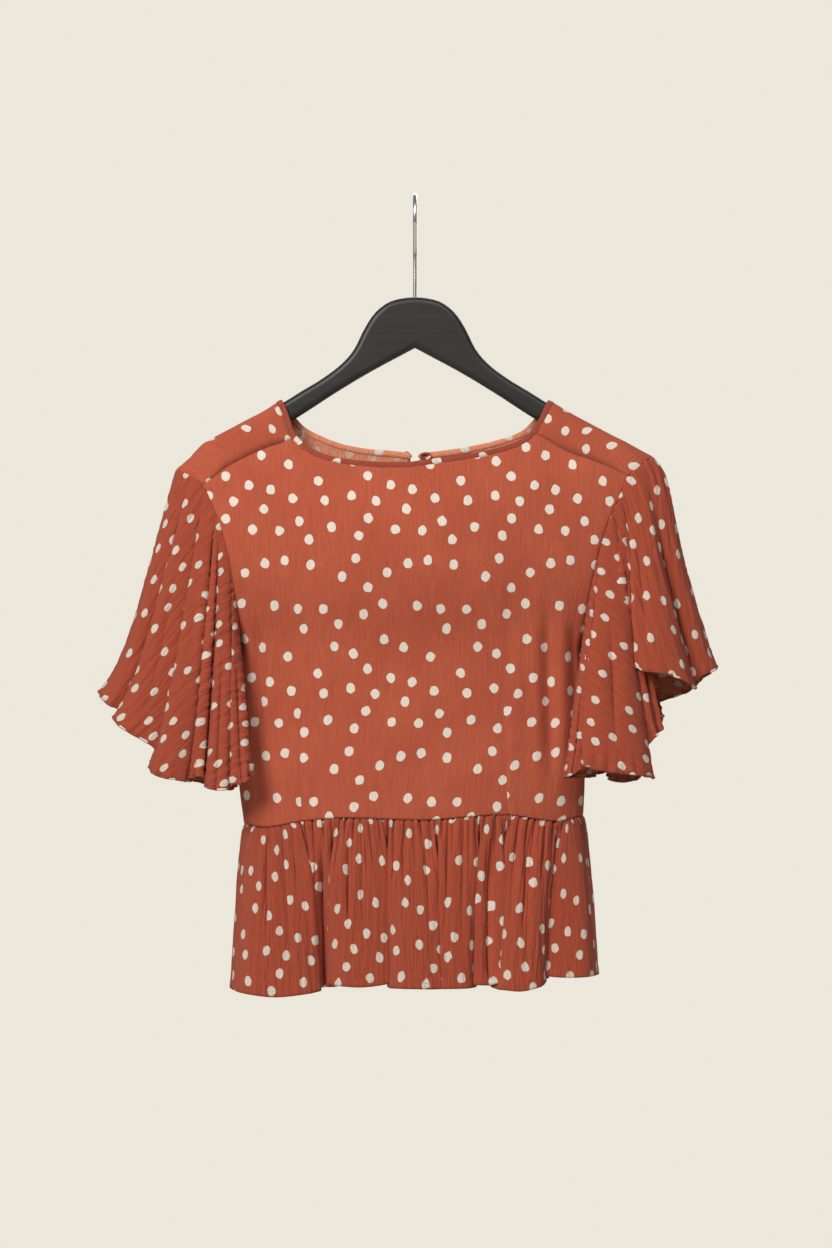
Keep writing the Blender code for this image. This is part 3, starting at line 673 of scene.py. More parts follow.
def unrolled(points: Array) -> Array:
    """Lay a strip flat, column by column, as a flounce is cut.

    Args:
        points: A grid whose columns run from the seam to the hem.

    Returns:
        The flat place of each point, in metres.
    """
    tops, feet = points[:, 0], points[:, -1]
    flat_tops = [np.array([0.0, 0.0])]
    flat_feet = [np.array([0.0, -np.linalg.norm(feet[0] - tops[0])])]

    def beside(base: Array, other: Array, from_base: float, from_other: float) -> Array:
        """The point on the +X side that lies at two distances from two points."""
        axis = other - base
        span = np.linalg.norm(axis)
        axis = axis / span
        along = (from_base**2 - from_other**2 + span**2) / (2 * span)
        out = math.sqrt(max(from_base**2 - along**2, 0.0))
        return base + axis * along + np.array([-axis[1], axis[0]]) * out

    def mirrored(point: Array, base: Array, other: Array) -> Array:
        """The point on the other side of the line through base and other."""
        axis = unit(other - base)
        return 2 * (base + axis * np.dot(point - base, axis)) - point

    for k in range(1, len(points)):
        top, foot = flat_tops[-1], flat_feet[-1]
        slant, top_edge = np.linalg.norm(tops[k] - feet[k - 1]), np.linalg.norm(tops[k] - tops[k - 1])
        new_top = beside(foot, top, slant, top_edge)
        if (new_top - top)[0] * (top - foot)[1] - (new_top - top)[1] * (top - foot)[0] < 0:
            new_top = mirrored(new_top, foot, top)
        foot_edge, height = np.linalg.norm(feet[k] - feet[k - 1]), np.linalg.norm(tops[k] - feet[k])
        new_foot = beside(foot, new_top, foot_edge, height)
        across = new_top - top if np.linalg.norm(new_top - top) > 1e-9 else new_foot - foot
        turned_foot = mirrored(new_foot, foot, new_top)
        if np.dot(turned_foot - foot, across) > np.dot(new_foot - foot, across):
            new_foot = turned_foot
        flat_tops.append(new_top)
        flat_feet.append(new_foot)
    down = lengths(points, 1)
    share = (down / down[:, -1:])[..., None]
    return mixed(np.array(flat_tops)[:, None, :], np.array(flat_feet)[:, None, :], share)


def turned(flat: Array, degrees: float) -> Array:
    """Turn a flat layout, so that the grain of the cloth runs another way."""
    angle = math.radians(degrees)
    return flat @ np.array([[math.cos(angle), math.sin(angle)], [-math.sin(angle), math.cos(angle)]])


@dataclass(frozen=True)
class DotPrint:
    """The layout of the polka dots: a repeat, filled by throwing dots that keep their distance."""

    width: float = 128.0
    height: float = 172.0
    dots: int = 35
    apart: float = 17.0
    seed: int = 11
    tries: int = 20000

    def chart(self) -> list[tuple[float, float]]:
        """The centres of the dots, in millimetres from the repeat's corner."""
        rng = random.Random(self.seed)
        centres: list[tuple[float, float]] = []
        for _ in range(self.tries):
            if len(centres) == self.dots:
                break
            x, y = rng.uniform(0, self.width), rng.uniform(0, self.height)
            gaps = [(abs(x - other_x), abs(y - other_y)) for other_x, other_y in centres]
            gaps = [math.hypot(min(dx, self.width - dx), min(dy, self.height - dy)) for dx, dy in gaps]
            if all(gap > self.apart for gap in gaps):
                centres.append((round(x, 1), round(y, 1)))
        return centres


class Nodes:
    """A short way to write a material's nodes."""

    def __init__(self, name: str) -> None:
        """Start a material with a Principled BSDF."""
        self.material = bpy.data.materials.new(name)
        self.material.use_nodes = True
        self.tree = self.material.node_tree
        self.shader = self.tree.nodes["Principled BSDF"]

    def add(self, kind: str, inputs: dict | None = None, **settings: object) -> bpy.types.Node:
        """Add a node.

        Args:
            kind: The node's type name, without its ShaderNode prefix.
            inputs: Values or sockets by input name or number.
            settings: The node's own settings.

        Returns:
            The node.
        """
        node = self.tree.nodes.new(f"ShaderNode{kind}")
        for key, value in settings.items():
            setattr(node, key, value)
        for key, value in (inputs or {}).items():
            if isinstance(value, Socket):
                self.tree.links.new(value, node.inputs[key])
            else:
                node.inputs[key].default_value = value
        return node

    def math(self, operation: str, a: object, b: object = 0.0, c: object = 0.0) -> Socket:
        """A Math node's result."""
        return self.add("Math", {0: a, 1: b, 2: c}, operation=operation).outputs[0]

    def mix(self, share: object, a: object, b: object) -> Socket:
        """A mix of two colours."""
        node = self.add("Mix", {0: share, 6: a, 7: b}, data_type="RGBA")
        return node.outputs[2]

    def vector(self, operation: str, a: object, b: object = (0.0, 0.0, 0.0), scale: float = 1.0) -> Socket:
        """A Vector Math node's vector."""
        return self.add("VectorMath", {0: a, 1: b, 3: scale}, operation=operation).outputs[0]

    def noise(self, place: Socket, scale: float, detail: float, warp: float = 0.0, output: int = 0) -> Socket:
        """A noise texture's value, or its colour for output 1."""
        inputs = {"Vector": place, "Scale": scale, "Detail": detail, "Distortion": warp}
        return self.add("TexNoise", inputs).outputs[output]

    def place(self) -> Socket:
        """The piece's Object coordinates."""
        return self.add("TexCoord").outputs["Object"]

    def steps(self, value: object, low: float, high: float) -> Socket:
        """A smooth step of a value between two bounds."""
        return self.add("MapRange", {0: value, 1: low, 2: high}, interpolation_type="SMOOTHSTEP").outputs[0]

    def feed(self, values: dict) -> None:
        """Set or link the shader's inputs by name."""
        for name, value in values.items():
            if isinstance(value, Socket):
                self.tree.links.new(value, self.shader.inputs[name])
            else:
                self.shader.inputs[name].default_value = value

    def relief(self, height: Socket, strength: float, depth: float) -> None:
        """Give the surface a relief, whose depth is in millimetres."""
        bump = self.add("Bump", {"Strength": strength, "Distance": depth * MM, "Height": height})
        self.feed({"Normal": bump.outputs[0]})


@dataclass(frozen=True)
class CrepeFinish:
    """Crinkled viscose crepe with a polka-dot print, on the flat cut's own coordinates.

    Lengths are in millimetres. A pair of bounds is where a tone's step begins and ends. The tone's
    parts are the crinkles, patches and flecks; the height's are its rest, crinkles, ribs and weave.
    The crinkle part of the tone is painted shade: the ground turns to the shade colour and the dots
    to a dimmer cream where the crinkles are low, on top of the bump; the patches and flecks add
    random mottle.
    """

    name: str
    base: Colour = (0.455, 0.093, 0.045, 1.0)
    # The ground's painted shade colour, taken where the crinkles are low and in the dark random mottle.
    shade: Colour = (0.27, 0.045, 0.022, 1.0)
    dot: Colour = (0.80, 0.71, 0.61, 1.0)
    dot_radius: float = 4.4
    dot_edge: float = 0.3
    dot_narrow: float = 1.12
    dot_strength: float = 0.97
    dot_wobble: float = 1.6
    # Painted shade: how much dimmer the dots turn where the crinkles are low, also in the dark random mottle.
    dot_shaded_mottled: float = 0.82
    crinkle: float = 1.0
    relief: float = 2.6
    crinkle_wide: float = 1.9
    crinkle_long: float = 16.0
    rib_wide: float = 0.8
    rib_long: float = 6.0
    thread: float = 0.55
    ground_bounds: tuple[float, float] = (0.38, 0.66)
    cream_bounds: tuple[float, float] = (0.30, 0.70)
    wobble_scale: float = 0.22
    patch_scale: float = 0.018
    fleck_scale: float = 0.9
    tone_parts: tuple[float, float, float] = (0.8, 0.2, 0.12)
    height_parts: tuple[float, float, float, float] = (0.19, 0.62, 0.3, 0.035)
    print_layout: DotPrint = DotPrint()

    def make(self) -> Material:
        """Build the material."""
        nodes = Nodes(self.name)
        cut = nodes.add("UVMap", uv_map="Cut").outputs[0]
        mm = nodes.vector("SCALE", cut, scale=1.0 / MM)
        wobble = nodes.noise(mm, self.wobble_scale, 0.0, output=1)
        centred = nodes.vector("SUBTRACT", wobble, (0.5, 0.5, 0.5))
        wavy = nodes.vector("ADD", mm, nodes.vector("SCALE", centred, scale=self.dot_wobble))
        nearest = self._nearest_dot(nodes, wavy)
        mask = nodes.steps(nearest, self.dot_radius + self.dot_edge, self.dot_radius - self.dot_edge)
        height = self._crinkle_height(nodes, mm)
        patch, fleck = nodes.noise(mm, self.patch_scale, 2.0), nodes.noise(mm, self.fleck_scale, 2.0)
        of_height, of_patch, of_fleck = self.tone_parts
        tone = nodes.math("MULTIPLY_ADD", height, of_height, nodes.math("MULTIPLY", patch, of_patch))
        tone = nodes.math("MULTIPLY_ADD", fleck, of_fleck, tone)
        # Painted shade: the ground goes to the shade colour where the crinkles are low, with random patches
        # and flecks mixed in.
        ground = nodes.mix(nodes.steps(tone, *self.ground_bounds), self.shade, self.base)
        # Painted shade: the dots go to a dimmer cream where the crinkles are low, with the same random
        # mottle.
        shaded_mottled_dot = tuple(self.dot_shaded_mottled * part for part in self.dot[:3]) + (1.0,)
        cream = nodes.mix(nodes.steps(tone, *self.cream_bounds), shaded_mottled_dot, self.dot)
        strength = nodes.math("MULTIPLY", mask, self.dot_strength)
        nodes.feed({"Base Color": nodes.mix(strength, ground, cream), "Roughness": 0.88})
        nodes.feed({"Specular IOR Level": 0.25, "Sheen Weight": 0.1, "Sheen Roughness": 0.45})
        nodes.feed({"Sheen Tint": (1.0, 0.72, 0.6, 1.0)})
        nodes.relief(height, 1.0, self.relief)
        return nodes.material

    def _nearest_dot(self, nodes: Nodes, place: Socket) -> Socket:
        """The distance to the nearest dot's centre."""
        layout = self.print_layout
        place = nodes.vector("MULTIPLY", place, (self.dot_narrow, 1.0, 0.0))
        half_x, half_y = layout.width * self.dot_narrow / 2, layout.height / 2
        nearest = None
        for x, y in layout.chart():
            x *= self.dot_narrow
            bounds = {0: place, 1: (x + half_x, y + half_y, 1.0), 2: (x - half_x, y - half_y, -1.0)}
            wrapped = nodes.add("VectorMath", bounds, operation="WRAP").outputs[0]
            away = nodes.add("VectorMath", {0: wrapped, 1: (x, y, 0.0)}, operation="DISTANCE").outputs[1]
            nearest = away if nearest is None else nodes.math("MINIMUM", nearest, away)
        return nearest

    def _crinkle_height(self, nodes: Nodes, mm: Socket) -> Socket:
        """The height of the crinkles, the ribs and the weave, from 0 to 1."""
        long_way = nodes.vector("MULTIPLY", mm, (1 / self.crinkle_wide, 1 / self.crinkle_long, 0.0))
        fine_way = nodes.vector("MULTIPLY", mm, (1 / self.rib_wide, 1 / self.rib_long, 0.0))
        crinkles, ribs = nodes.noise(long_way, 1.0, 2.0, warp=0.4), nodes.noise(fine_way, 1.0, 1.0)
        turn = 2 * math.pi / self.thread
        ways = nodes.add("SeparateXYZ", {0: mm}).outputs
        warp, weft = (nodes.math("SINE", nodes.math("MULTIPLY", ways[a], turn)) for a in range(2))
        rest, of_crinkles, of_ribs, of_weave = self.height_parts
        height = nodes.math("MULTIPLY_ADD", crinkles, of_crinkles * self.crinkle, rest)
        height = nodes.math("MULTIPLY_ADD", ribs, of_ribs * self.crinkle, height)
        return nodes.math("MULTIPLY_ADD", nodes.math("MULTIPLY", warp, weft), of_weave, height)


@dataclass(frozen=True)
class LacquerFinish:
    """Black satin lacquer on wood: faint grain, long along X, that shows a little brown."""

    name: str
    black: Colour = (0.014, 0.013, 0.0115, 1.0)
    brown: Colour = (0.021, 0.0185, 0.0165, 1.0)
    grain: tuple[float, float, float] = (9.0, 70.0, 230.0)

    def make(self) -> Material:
        """Build the material."""
        nodes = Nodes(self.name)
        place = nodes.place()
        mapped = nodes.add("Mapping", {"Vector": place, "Scale": self.grain}).outputs[0]
        grain = nodes.noise(mapped, 1.0, 4.0)
        dust, haze = nodes.noise(place, 900.0, 2.0), nodes.noise(place, 18.0, 3.0)
        rough = nodes.math("MULTIPLY_ADD", dust, 0.06, nodes.math("MULTIPLY_ADD", haze, 0.1, 0.36))
        nodes.feed({"Base Color": nodes.mix(nodes.steps(grain, 0.3, 0.9), self.black, self.brown)})
        nodes.feed({"Roughness": rough, "Specular IOR Level": 0.4})
        height = nodes.math("MULTIPLY_ADD", grain, 0.6, nodes.math("MULTIPLY", dust, 0.25))
        nodes.relief(height, 0.1, 0.15)
        return nodes.material


@dataclass(frozen=True)
class ChromeFinish:
    """Bright chrome wire, with fine drawing marks and a few dull patches."""

    name: str
    dull: Colour = (0.62, 0.61, 0.60, 1.0)
    bright: Colour = (0.80, 0.79, 0.77, 1.0)
    marks: tuple[float, float, float] = (2500.0, 2500.0, 90.0)

    def make(self) -> Material:
        """Build the material."""
        nodes = Nodes(self.name)
        place = nodes.place()
        haze = nodes.noise(place, 120.0, 3.0)
        marks = nodes.add("Mapping", {"Vector": place, "Scale": self.marks}).outputs[0]
        nodes.feed({"Base Color": nodes.mix(haze, self.dull, self.bright), "Metallic": 1.0})
        nodes.feed({"Roughness": nodes.math("MULTIPLY_ADD", haze, 0.12, 0.2)})
        nodes.relief(nodes.noise(marks, 1.0, 2.0), 0.05, 0.05)
        return nodes.material


@dataclass(frozen=True)
class ThreadFinish:
    """Sewing thread: two plies, a little shiny."""

    name: str
    light: Colour = (0.36, 0.085, 0.045, 1.0)
    dark: Colour = (0.22, 0.045, 0.024, 1.0)

    def make(self) -> Material:
        """Build the material."""
        nodes = Nodes(self.name)
        plies = nodes.noise(nodes.place(), 1800.0, 1.0)
        nodes.feed({"Base Color": nodes.mix(plies, self.dark, self.light)})
        nodes.feed({"Roughness": 0.55, "Sheen Weight": 0.2})
        nodes.relief(plies, 0.3, 0.1)
        return nodes.material


def finish(kind: type, name: str, **changes: object) -> Material:
    """A wardrobe's field that holds a finish, built when the wardrobe is.

    Args:
        kind: The finish's class.
        name: The material's name.
        changes: What differs from the class's own values.

    Returns:
        The field.
    """
    return field(default_factory=kind(name, **changes).make)


@dataclass
class Wardrobe:
    """The finishes that the pieces share."""

    crepe: Material = finish(
        CrepeFinish,
        "dotted_crepe",
        base=(0.485, 0.106, 0.053, 1.0),
        shade=(0.37, 0.070, 0.034, 1.0),
        crinkle=0.5,
        crinkle_long=22.0,
        relief=1.8,
    )
    # Painted shade: a darker copy of the same crepe, with a darker shade colour, for the sleeves and the
    # peplum.
    crinkled: Material = finish(
        CrepeFinish,
        "dotted_crepe_crinkled",
        base=(0.43, 0.075, 0.035, 1.0),
        shade=(0.235, 0.040, 0.023, 1.0),
        crinkle_wide=2.5,
        relief=3.4,
    )
    # Partly the wrong side's own lighter colour, where the print does not reach through, and partly painted
    # light: the bodice's and yokes' inside is made lighter still, for light that shines through the thin
    # cloth and into the back neck.
    wrong_side: Material = finish(
        CrepeFinish,
        "dotted_crepe_wrong_side",
        base=(0.84, 0.33, 0.185, 1.0),
        shade=(0.70, 0.24, 0.13, 1.0),
        dot=(0.86, 0.62, 0.46, 1.0),
        dot_strength=0.75,
    )
    crinkled_inside: Material = finish(
        CrepeFinish,
        "dotted_crepe_crinkled_inside",
        base=(0.46, 0.125, 0.064, 1.0),
        shade=(0.31, 0.070, 0.035, 1.0),
        dot=(0.62, 0.42, 0.32, 1.0),
        dot_strength=0.8,
        crinkle=1.25,
        crinkle_wide=2.3,
    )
    bias: Material = finish(
        CrepeFinish,
        "dotted_crepe_bias",
        base=(0.36, 0.070, 0.036, 1.0),
        shade=(0.25, 0.045, 0.023, 1.0),
        **BIAS_CRINKLE,
    )
    # Partly the wrong side's own lighter colour and partly painted light: a lighter copy of the bias for the
    # inside of the back neck band, for light that shines through the thin cloth onto it.
    bias_inside: Material = finish(
        CrepeFinish,
        "dotted_crepe_bias_inside",
        base=(0.80, 0.31, 0.175, 1.0),
        shade=(0.66, 0.22, 0.12, 1.0),
        **BIAS_CRINKLE,
    )
    thread: Material = finish(ThreadFinish, "rust_thread")
    lacquer: Material = finish(LacquerFinish, "black_lacquered_wood")
    chrome: Material = finish(ChromeFinish, "chrome_wire")


def show(name: str, mesh: bpy.types.Mesh, materials: Sequence) -> Piece:
    """Put a mesh in the scene as a piece of the top.

    Args:
        name: The piece's name.
        mesh: Its mesh, in the row's frame.
        materials: Its finishes.

    Returns:
        The piece, riding on the body.
    """
    for material in materials:
        mesh.materials.append(material)
    piece = linked(name, mesh)
    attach(piece, BODY)
    return piece


@dataclass
class GridMesh:
    """A mesh that starts as a flat grid and whose corners are then moved and laid out."""

    name: str
    columns: int
    rows: int

    def __post_init__(self) -> None:
        """Make the grid and note each corner's column and row."""
        bm = bmesh.new()
        bm.loops.layers.uv.new("Cut")
        bmesh.ops.create_grid(bm, x_segments=self.columns, y_segments=self.rows, size=0.5)
        self.mesh = mesh_of(self.name, bm)
        flat = np.empty(len(self.mesh.vertices) * 3)
        self.mesh.vertices.foreach_get("co", flat)
        shares = flat.reshape(-1, 3)[:, :2] + 0.5
        self.spots = np.rint(shares * (self.columns, self.rows)).astype(int)
        corners = np.empty(len(self.mesh.loops), dtype=int)
        self.mesh.loops.foreach_get("vertex_index", corners)
        self.corners = self.spots[corners]

    def place(self, points: Array) -> None:
        """Move each corner to its point of a grid of points."""
        i, j = self.spots.T
        self.mesh.vertices.foreach_set("co", points[i, j].ravel())

    def lay_out(self, flat: Array, take_up: Array | None = None) -> None:
        """Set the layout of the flat cut.

        Args:
            flat: The flat place of each point.
            take_up: Cloth that each column of faces skips, at each point.
        """
        i, j = self.corners.T
        places = flat[i, j]
        if take_up is not None:
            first = np.repeat(i.reshape(-1, 4).min(axis=1), 4)
            places = places + np.stack([take_up[first, j], np.zeros(len(j))], axis=1)
        self.mesh.uv_layers["Cut"].data.foreach_set("uv", places.ravel())

    def cells(self) -> Array:
        """Each face's column and row."""
        return self.corners.reshape(-1, 4, 2).min(axis=1)

    def drop(self, gone: set) -> None:
        """Take out the faces of some cells, given by column and row."""
        bm = bmesh.new()
        bm.from_mesh(self.mesh)
        bm.faces.ensure_lookup_table()
        faces = [bm.faces[k] for k, (i, j) in enumerate(self.cells()) if (i, j) in gone]
        bmesh.ops.delete(bm, geom=faces, context="FACES_ONLY")
        bm.to_mesh(self.mesh)
        bm.free()

    def close(self) -> bpy.types.Mesh:
        """Merge the doubled corners, fill the open ends and turn the faces outwards."""
        bm = bmesh.new()
        bm.from_mesh(self.mesh)
        bmesh.ops.remove_doubles(bm, verts=bm.verts, dist=0.001 * MM)
        bmesh.ops.holes_fill(bm, edges=[e for e in bm.edges if e.is_boundary], sides=0)
        bmesh.ops.recalc_face_normals(bm, faces=bm.faces)
        bm.to_mesh(self.mesh)
        bm.free()
        self.mesh.shade_smooth()
        return self.mesh


# A fold's section, in its own depth and width: a valley between two shoulders, and a lip that laps.
VALLEY_DEPTH, VALLEY_SHARP = 1.75, 1.3
SHOULDER_HEIGHT, SHOULDER_AWAY, SHOULDER_HALF = 0.35, 3.2, 1.7
LIP_HEIGHT, LIP_AWAY, LIP_HALF = 0.35, 1.5, 1.1
# The share of the way down where a hem begins to move on its own.
HEM_FROM = 0.88
# The shares of the way down over which a fold begins and ends.
FOLD_BEGINS, FOLD_ENDS = 0.28, 0.3


@dataclass(frozen=True)
class Fold:
    """A sharp valley between two rounded folds, that runs down from a place on the seam."""

    place: float
    depth: float
    top: float = 0.08
    width: float = 2.6
    lap: float = 0.0
    foot: float = 1.0

    def moves(self, places: Array, run: Array, down: Array) -> tuple[Array, Array]:
        """How far it moves the cloth out and along.

        Args:
            places: The place on the seam of each column.
            run: How far along its row each point lies.
            down: How far down each row lies, from 0 to 1.

        Returns:
            The height and the shift along the row at each point: with a lap above 0 the cloth
            before the valley lies over it, below 0 the cloth after it does.
        """
        at = np.array([np.interp(self.place, places, run[:, j]) for j in range(run.shape[1])])
        away = (run - at[None, :]) / (self.width * MM)
        shoulders = SHOULDER_HEIGHT * bell((np.abs(away) - SHOULDER_AWAY) / SHOULDER_HALF)
        shape = shoulders - VALLEY_DEPTH * np.exp(-VALLEY_SHARP * np.abs(away))
        fade = eased(self.top, self.top + FOLD_BEGINS, down)
        if self.foot < 1:
            fade = fade * (1 - eased(self.foot - FOLD_ENDS, self.foot, down))
        lip = bell((away + LIP_AWAY * np.sign(self.lap)) / LIP_HALF)
        height = self.depth * shape + LIP_HEIGHT * abs(self.lap) * lip
        return height * MM * fade, self.lap * lip * MM * fade


@dataclass
class ClothGrid:
    """A grid of points on a cloth's middle, with its flat layout, made into a walled piece."""

    points: Array
    flat: Array
    out: Array
    take_up: Array | None = None
    gone: set = field(default_factory=set)
    wall: float = 0.8 * MM
    weld: float = 0.02 * MM
    ripples: int = 28
    ripple_peak: float = 7.5
    ripple_lean: float = 0.10
    ripple_spread: tuple[float, float] = (0.65, 1.9)

    def faces_in(self) -> bool:
        """Whether the grid's own normals point away from the right side."""
        return float((normals_of(self.points) * self.out).sum()) < 0

    def outward(self) -> Array:
        """The unit normals, turned to the cloth's right side."""
        normal = normals_of(self.points)
        return -normal if self.faces_in() else normal

    def lift(self, height: Array) -> None:
        """Move the points out by a height each."""
        self.points = self.points + self.outward() * height[..., None]

    def fold(self, folds: Sequence[Fold], places: Array, down: Array) -> None:
        """Press folds into the cloth.

        Args:
            folds: The folds.
            places: The place on the seam of each column.
            down: How far down each row lies, from 0 to 1.
        """
        run = lengths(self.points, 0)
        along = unit(np.gradient(self.points, axis=0))
        height, shift = np.zeros(run.shape), np.zeros(run.shape)
        for one in folds:
            out, over = one.moves(places, run, down)
            height += out
            shift += over
        self.points = self.points + self.outward() * height[..., None] + along * shift[..., None]

    def crinkle(self, depth: float, pitch: float, seed: int) -> None:
        """Raise uneven crinkles that follow the grain of the flat cut.

        Args:
            depth: How far the tallest stand out, in metres.
            pitch: Their mean distance, in metres.
            seed: The seed of their pattern.
        """
        rng = np.random.default_rng(seed)
        height = np.zeros(self.points.shape[:2])
        for _ in range(self.ripples):
            turn = 2 * math.pi / (pitch * rng.uniform(*self.ripple_spread))
            lean = rng.normal(0.0, self.ripple_lean)
            phase = rng.uniform(0, 2 * math.pi)
            height += np.sin(turn * (self.flat[..., 0] + lean * self.flat[..., 1]) + phase)
        self.lift(depth * np.clip(height / self.ripple_peak, -1.0, 1.0))

    def roll(self, reach: float, depth: float, edges: str) -> None:
        """Roll edges in, as a seam does.

        Args:
            reach: How far from the edge the roll begins.
            depth: How far in the edge goes.
            edges: Letters of the edges: s first column, e last column, t first row, b last row.
        """
        across, down = lengths(self.points, 0), lengths(self.points, 1)
        gaps = {"s": across, "e": across[-1:] - across, "t": down, "b": down[:, -1:] - down}
        height = np.zeros(self.points.shape[:2])
        for letter in edges:
            height -= depth * np.clip(1 - gaps[letter] / reach, 0.0, 1.0) ** 2
        self.lift(height)

    def build(self, name: str, materials: Sequence, hem: Array | None = None) -> Piece:
        """Make the piece.

        Args:
            name: The piece's name.
            materials: The right side's finish, then the wrong side's.
            hem: How thick the wall is at each point, as a share of its greatest thickness.

        Returns:
            The piece, with a live Solidify.
        """
        grid = GridMesh(name, self.points.shape[0] - 1, self.points.shape[1] - 1)
        grid.place(self.points)
        grid.lay_out(self.flat, self.take_up)
        if self.gone:
            grid.drop(self.gone)
        if self.faces_in():
            grid.mesh.flip_normals()
        grid.mesh.shade_smooth()
        piece = show(name, grid.mesh, materials)
        if hem is not None:
            group = piece.vertex_groups.new(name="Hem")
            thick = hem[grid.spots[:, 0], grid.spots[:, 1]].round(2)
            for share in np.unique(thick):
                group.add(np.flatnonzero(thick == share).tolist(), float(share), "REPLACE")
        close = piece.modifiers.new("Close", "WELD")
        close.merge_threshold = self.weld
        shell = piece.modifiers.new("Wall", "SOLIDIFY")
        shell.thickness = self.wall if hem is None else 2 * self.wall
        shell.offset = 0.0
        shell.use_quality_normals = True
        shell.material_offset = len(materials) - 1
        if hem is not None:
            shell.vertex_group = "Hem"
        return piece


@dataclass(frozen=True)
class Seam:
    """A line of stitches."""

    length: float = 2.1 * MM
    pitch: float = 3.0 * MM
    thick: float = 0.19 * MM

    def sew(self, name: str, lines: Sequence[Array], material: Material) -> Piece:
        """Make the stitches along some lines.

        Args:
            name: The piece's name.
            lines: Each line's points.
            material: The thread's finish.

        Returns:
            All the stitches, as one piece.
        """
        bm = bmesh.new()
        bmesh.ops.create_uvsphere(bm, u_segments=6, v_segments=4, radius=1.0)
        one = mesh_of(name, bm)
        shape = np.empty(len(one.vertices) * 3)
        one.vertices.foreach_get("co", shape)
        shape = shape.reshape(-1, 3) * (self.thick, self.thick, self.length / 2)
        bm = bmesh.new()
        places = []
        for line in lines:
            along = run_of(line)
            starts = np.arange(0.5 * self.pitch, along[-1] - self.length, self.pitch)
            ends = (starts, starts + self.length)
            low, high = (np.stack([np.interp(at, along, way) for way in line.T], axis=1) for at in ends)
            for a, b in zip(low, high):
                turn = Vector(b - a).to_track_quat("Z", "Y").to_matrix()
                places.append(shape @ np.array(turn).T + (a + b) / 2)
                bm.from_mesh(one)
        mesh = mesh_of(name, bm)
        bpy.data.meshes.remove(one)
        mesh.vertices.foreach_set("co", np.concatenate(places).ravel())
        mesh.shade_smooth()
        return show(name, mesh, [material])


def tube(
    name: str,
    centres: Array,
    radii: Array,
    material: Material,
    sides: int = 12,
    closed: bool = False,
) -> Piece:
    """A round tube of changing radius.

    Args:
        name: The piece's name.
        centres: The points along its middle.
        radii: Its radius at each point.
        material: Its finish.
        sides: How many sides it has.
        closed: Whether it is a ring.

    Returns:
        The piece.
    """
    if closed:
        tangents = np.roll(centres, -1, axis=0) - np.roll(centres, 1, axis=0)
    else:
        tangents = np.gradient(centres, axis=0)
    tangents = unit(tangents)
    normal = np.cross(tangents[0], [0.31, 0.9, 0.27])
    normals = []
    for tangent in tangents:
        normal = unit(normal - tangent * np.dot(normal, tangent))
        normals.append(normal)
    normals = np.array(normals)
    turns = np.linspace(0, 2 * math.pi, sides + 1)
    round_way = turns[None, :, None]
    ring = normals[:, None] * np.cos(round_way) + np.cross(tangents, normals)[:, None] * np.sin(round_way)
    points = centres[:, None] + ring * radii[:, None, None]
    run = run_of(centres)
    if closed:
        points = np.concatenate([points, points[:1]])
        run = np.append(run, run[-1] + np.linalg.norm(centres[0] - centres[-1]))
    grid = GridMesh(name, len(points) - 1, sides)
    grid.place(points)
    grid.lay_out(np.stack(np.broadcast_arrays(run[:, None], turns[None, :] * float(radii.mean())), axis=2))
    return show(name, grid.close(), [material])


@dataclass(frozen=True)
class Crease:
    """A soft trough (depth below 0) or ridge (above 0) in a panel, from its top to its foot."""

    x_top: float
    z_top: float
    x_foot: float
    z_foot: float
    width: float
    depth: float
    fade: float = 0.3

    def height(self, x: Array, z: Array) -> Array:
        """How far it lifts the cloth at each point, in metres."""
        span_x, span_z = (self.x_foot - self.x_top) * MM, (self.z_foot - self.z_top) * MM
        length = math.hypot(span_x, span_z)
        dx, dz = x - self.x_top * MM, z - self.z_top * MM
        along = (dx * span_x + dz * span_z) / length**2
        away = (dx * span_z - dz * span_x) / length
        lift = self.depth * MM * bell(away / (self.width * MM))
        return lift * eased(0, self.fade, along) * eased(0, self.fade, 1 - along)


@dataclass(frozen=True)
class Dart:
    """A sewn dart that rises from the waist: the cloth it takes up is missing from the print."""

    x: float
    z_top: float
    take_up: float = 12.0
    groove: float = 1.3
    half: float = 1.6


FRONT_CREASES = rows(
    Crease,  # x_top, z_top, x_foot, z_foot, width, depth, fade
    (-142, -370, -137, -500, 4.5, -3.2),
    (-131, -380, -128, -505, 7.0, 1.4),
    (-152, -390, -149, -540, 6.0, 1.6),
    (-124, -450, -130, -548, 4.0, -0.9),
    (-72, -330, -70, -520, 7.0, -0.9),
    (-86, -385, -92, -470, 5.0, -0.8),
    (-106, -400, -101, -560, 11.0, 1.1),
    (86, -330, 82, -470, 6.0, -1.1),
    (96, -390, 82, -560, 9.0, 1.0),
    (117, -345, 122, -545, 5.5, -4.2, 0.35),
    (107, -350, 110, -540, 6.5, 1.7),
    (131, -352, 134, -530, 5.5, 2.2),
    (141, -375, 143, -470, 4.0, -3.0),
    (129, -302, 150, -329, 2.4, -1.4, 0.45),
    (124, -305, 146, -336, 4.5, 1.0, 0.45),
    (-52, -255, -46, -300, 14.0, 0.8),
    (20, -420, 16, -540, 9.0, -0.5),
    (-20, -360, -24, -500, 8.0, -0.5),
    (56, -260, 40, -330, 12.0, -0.6),
)
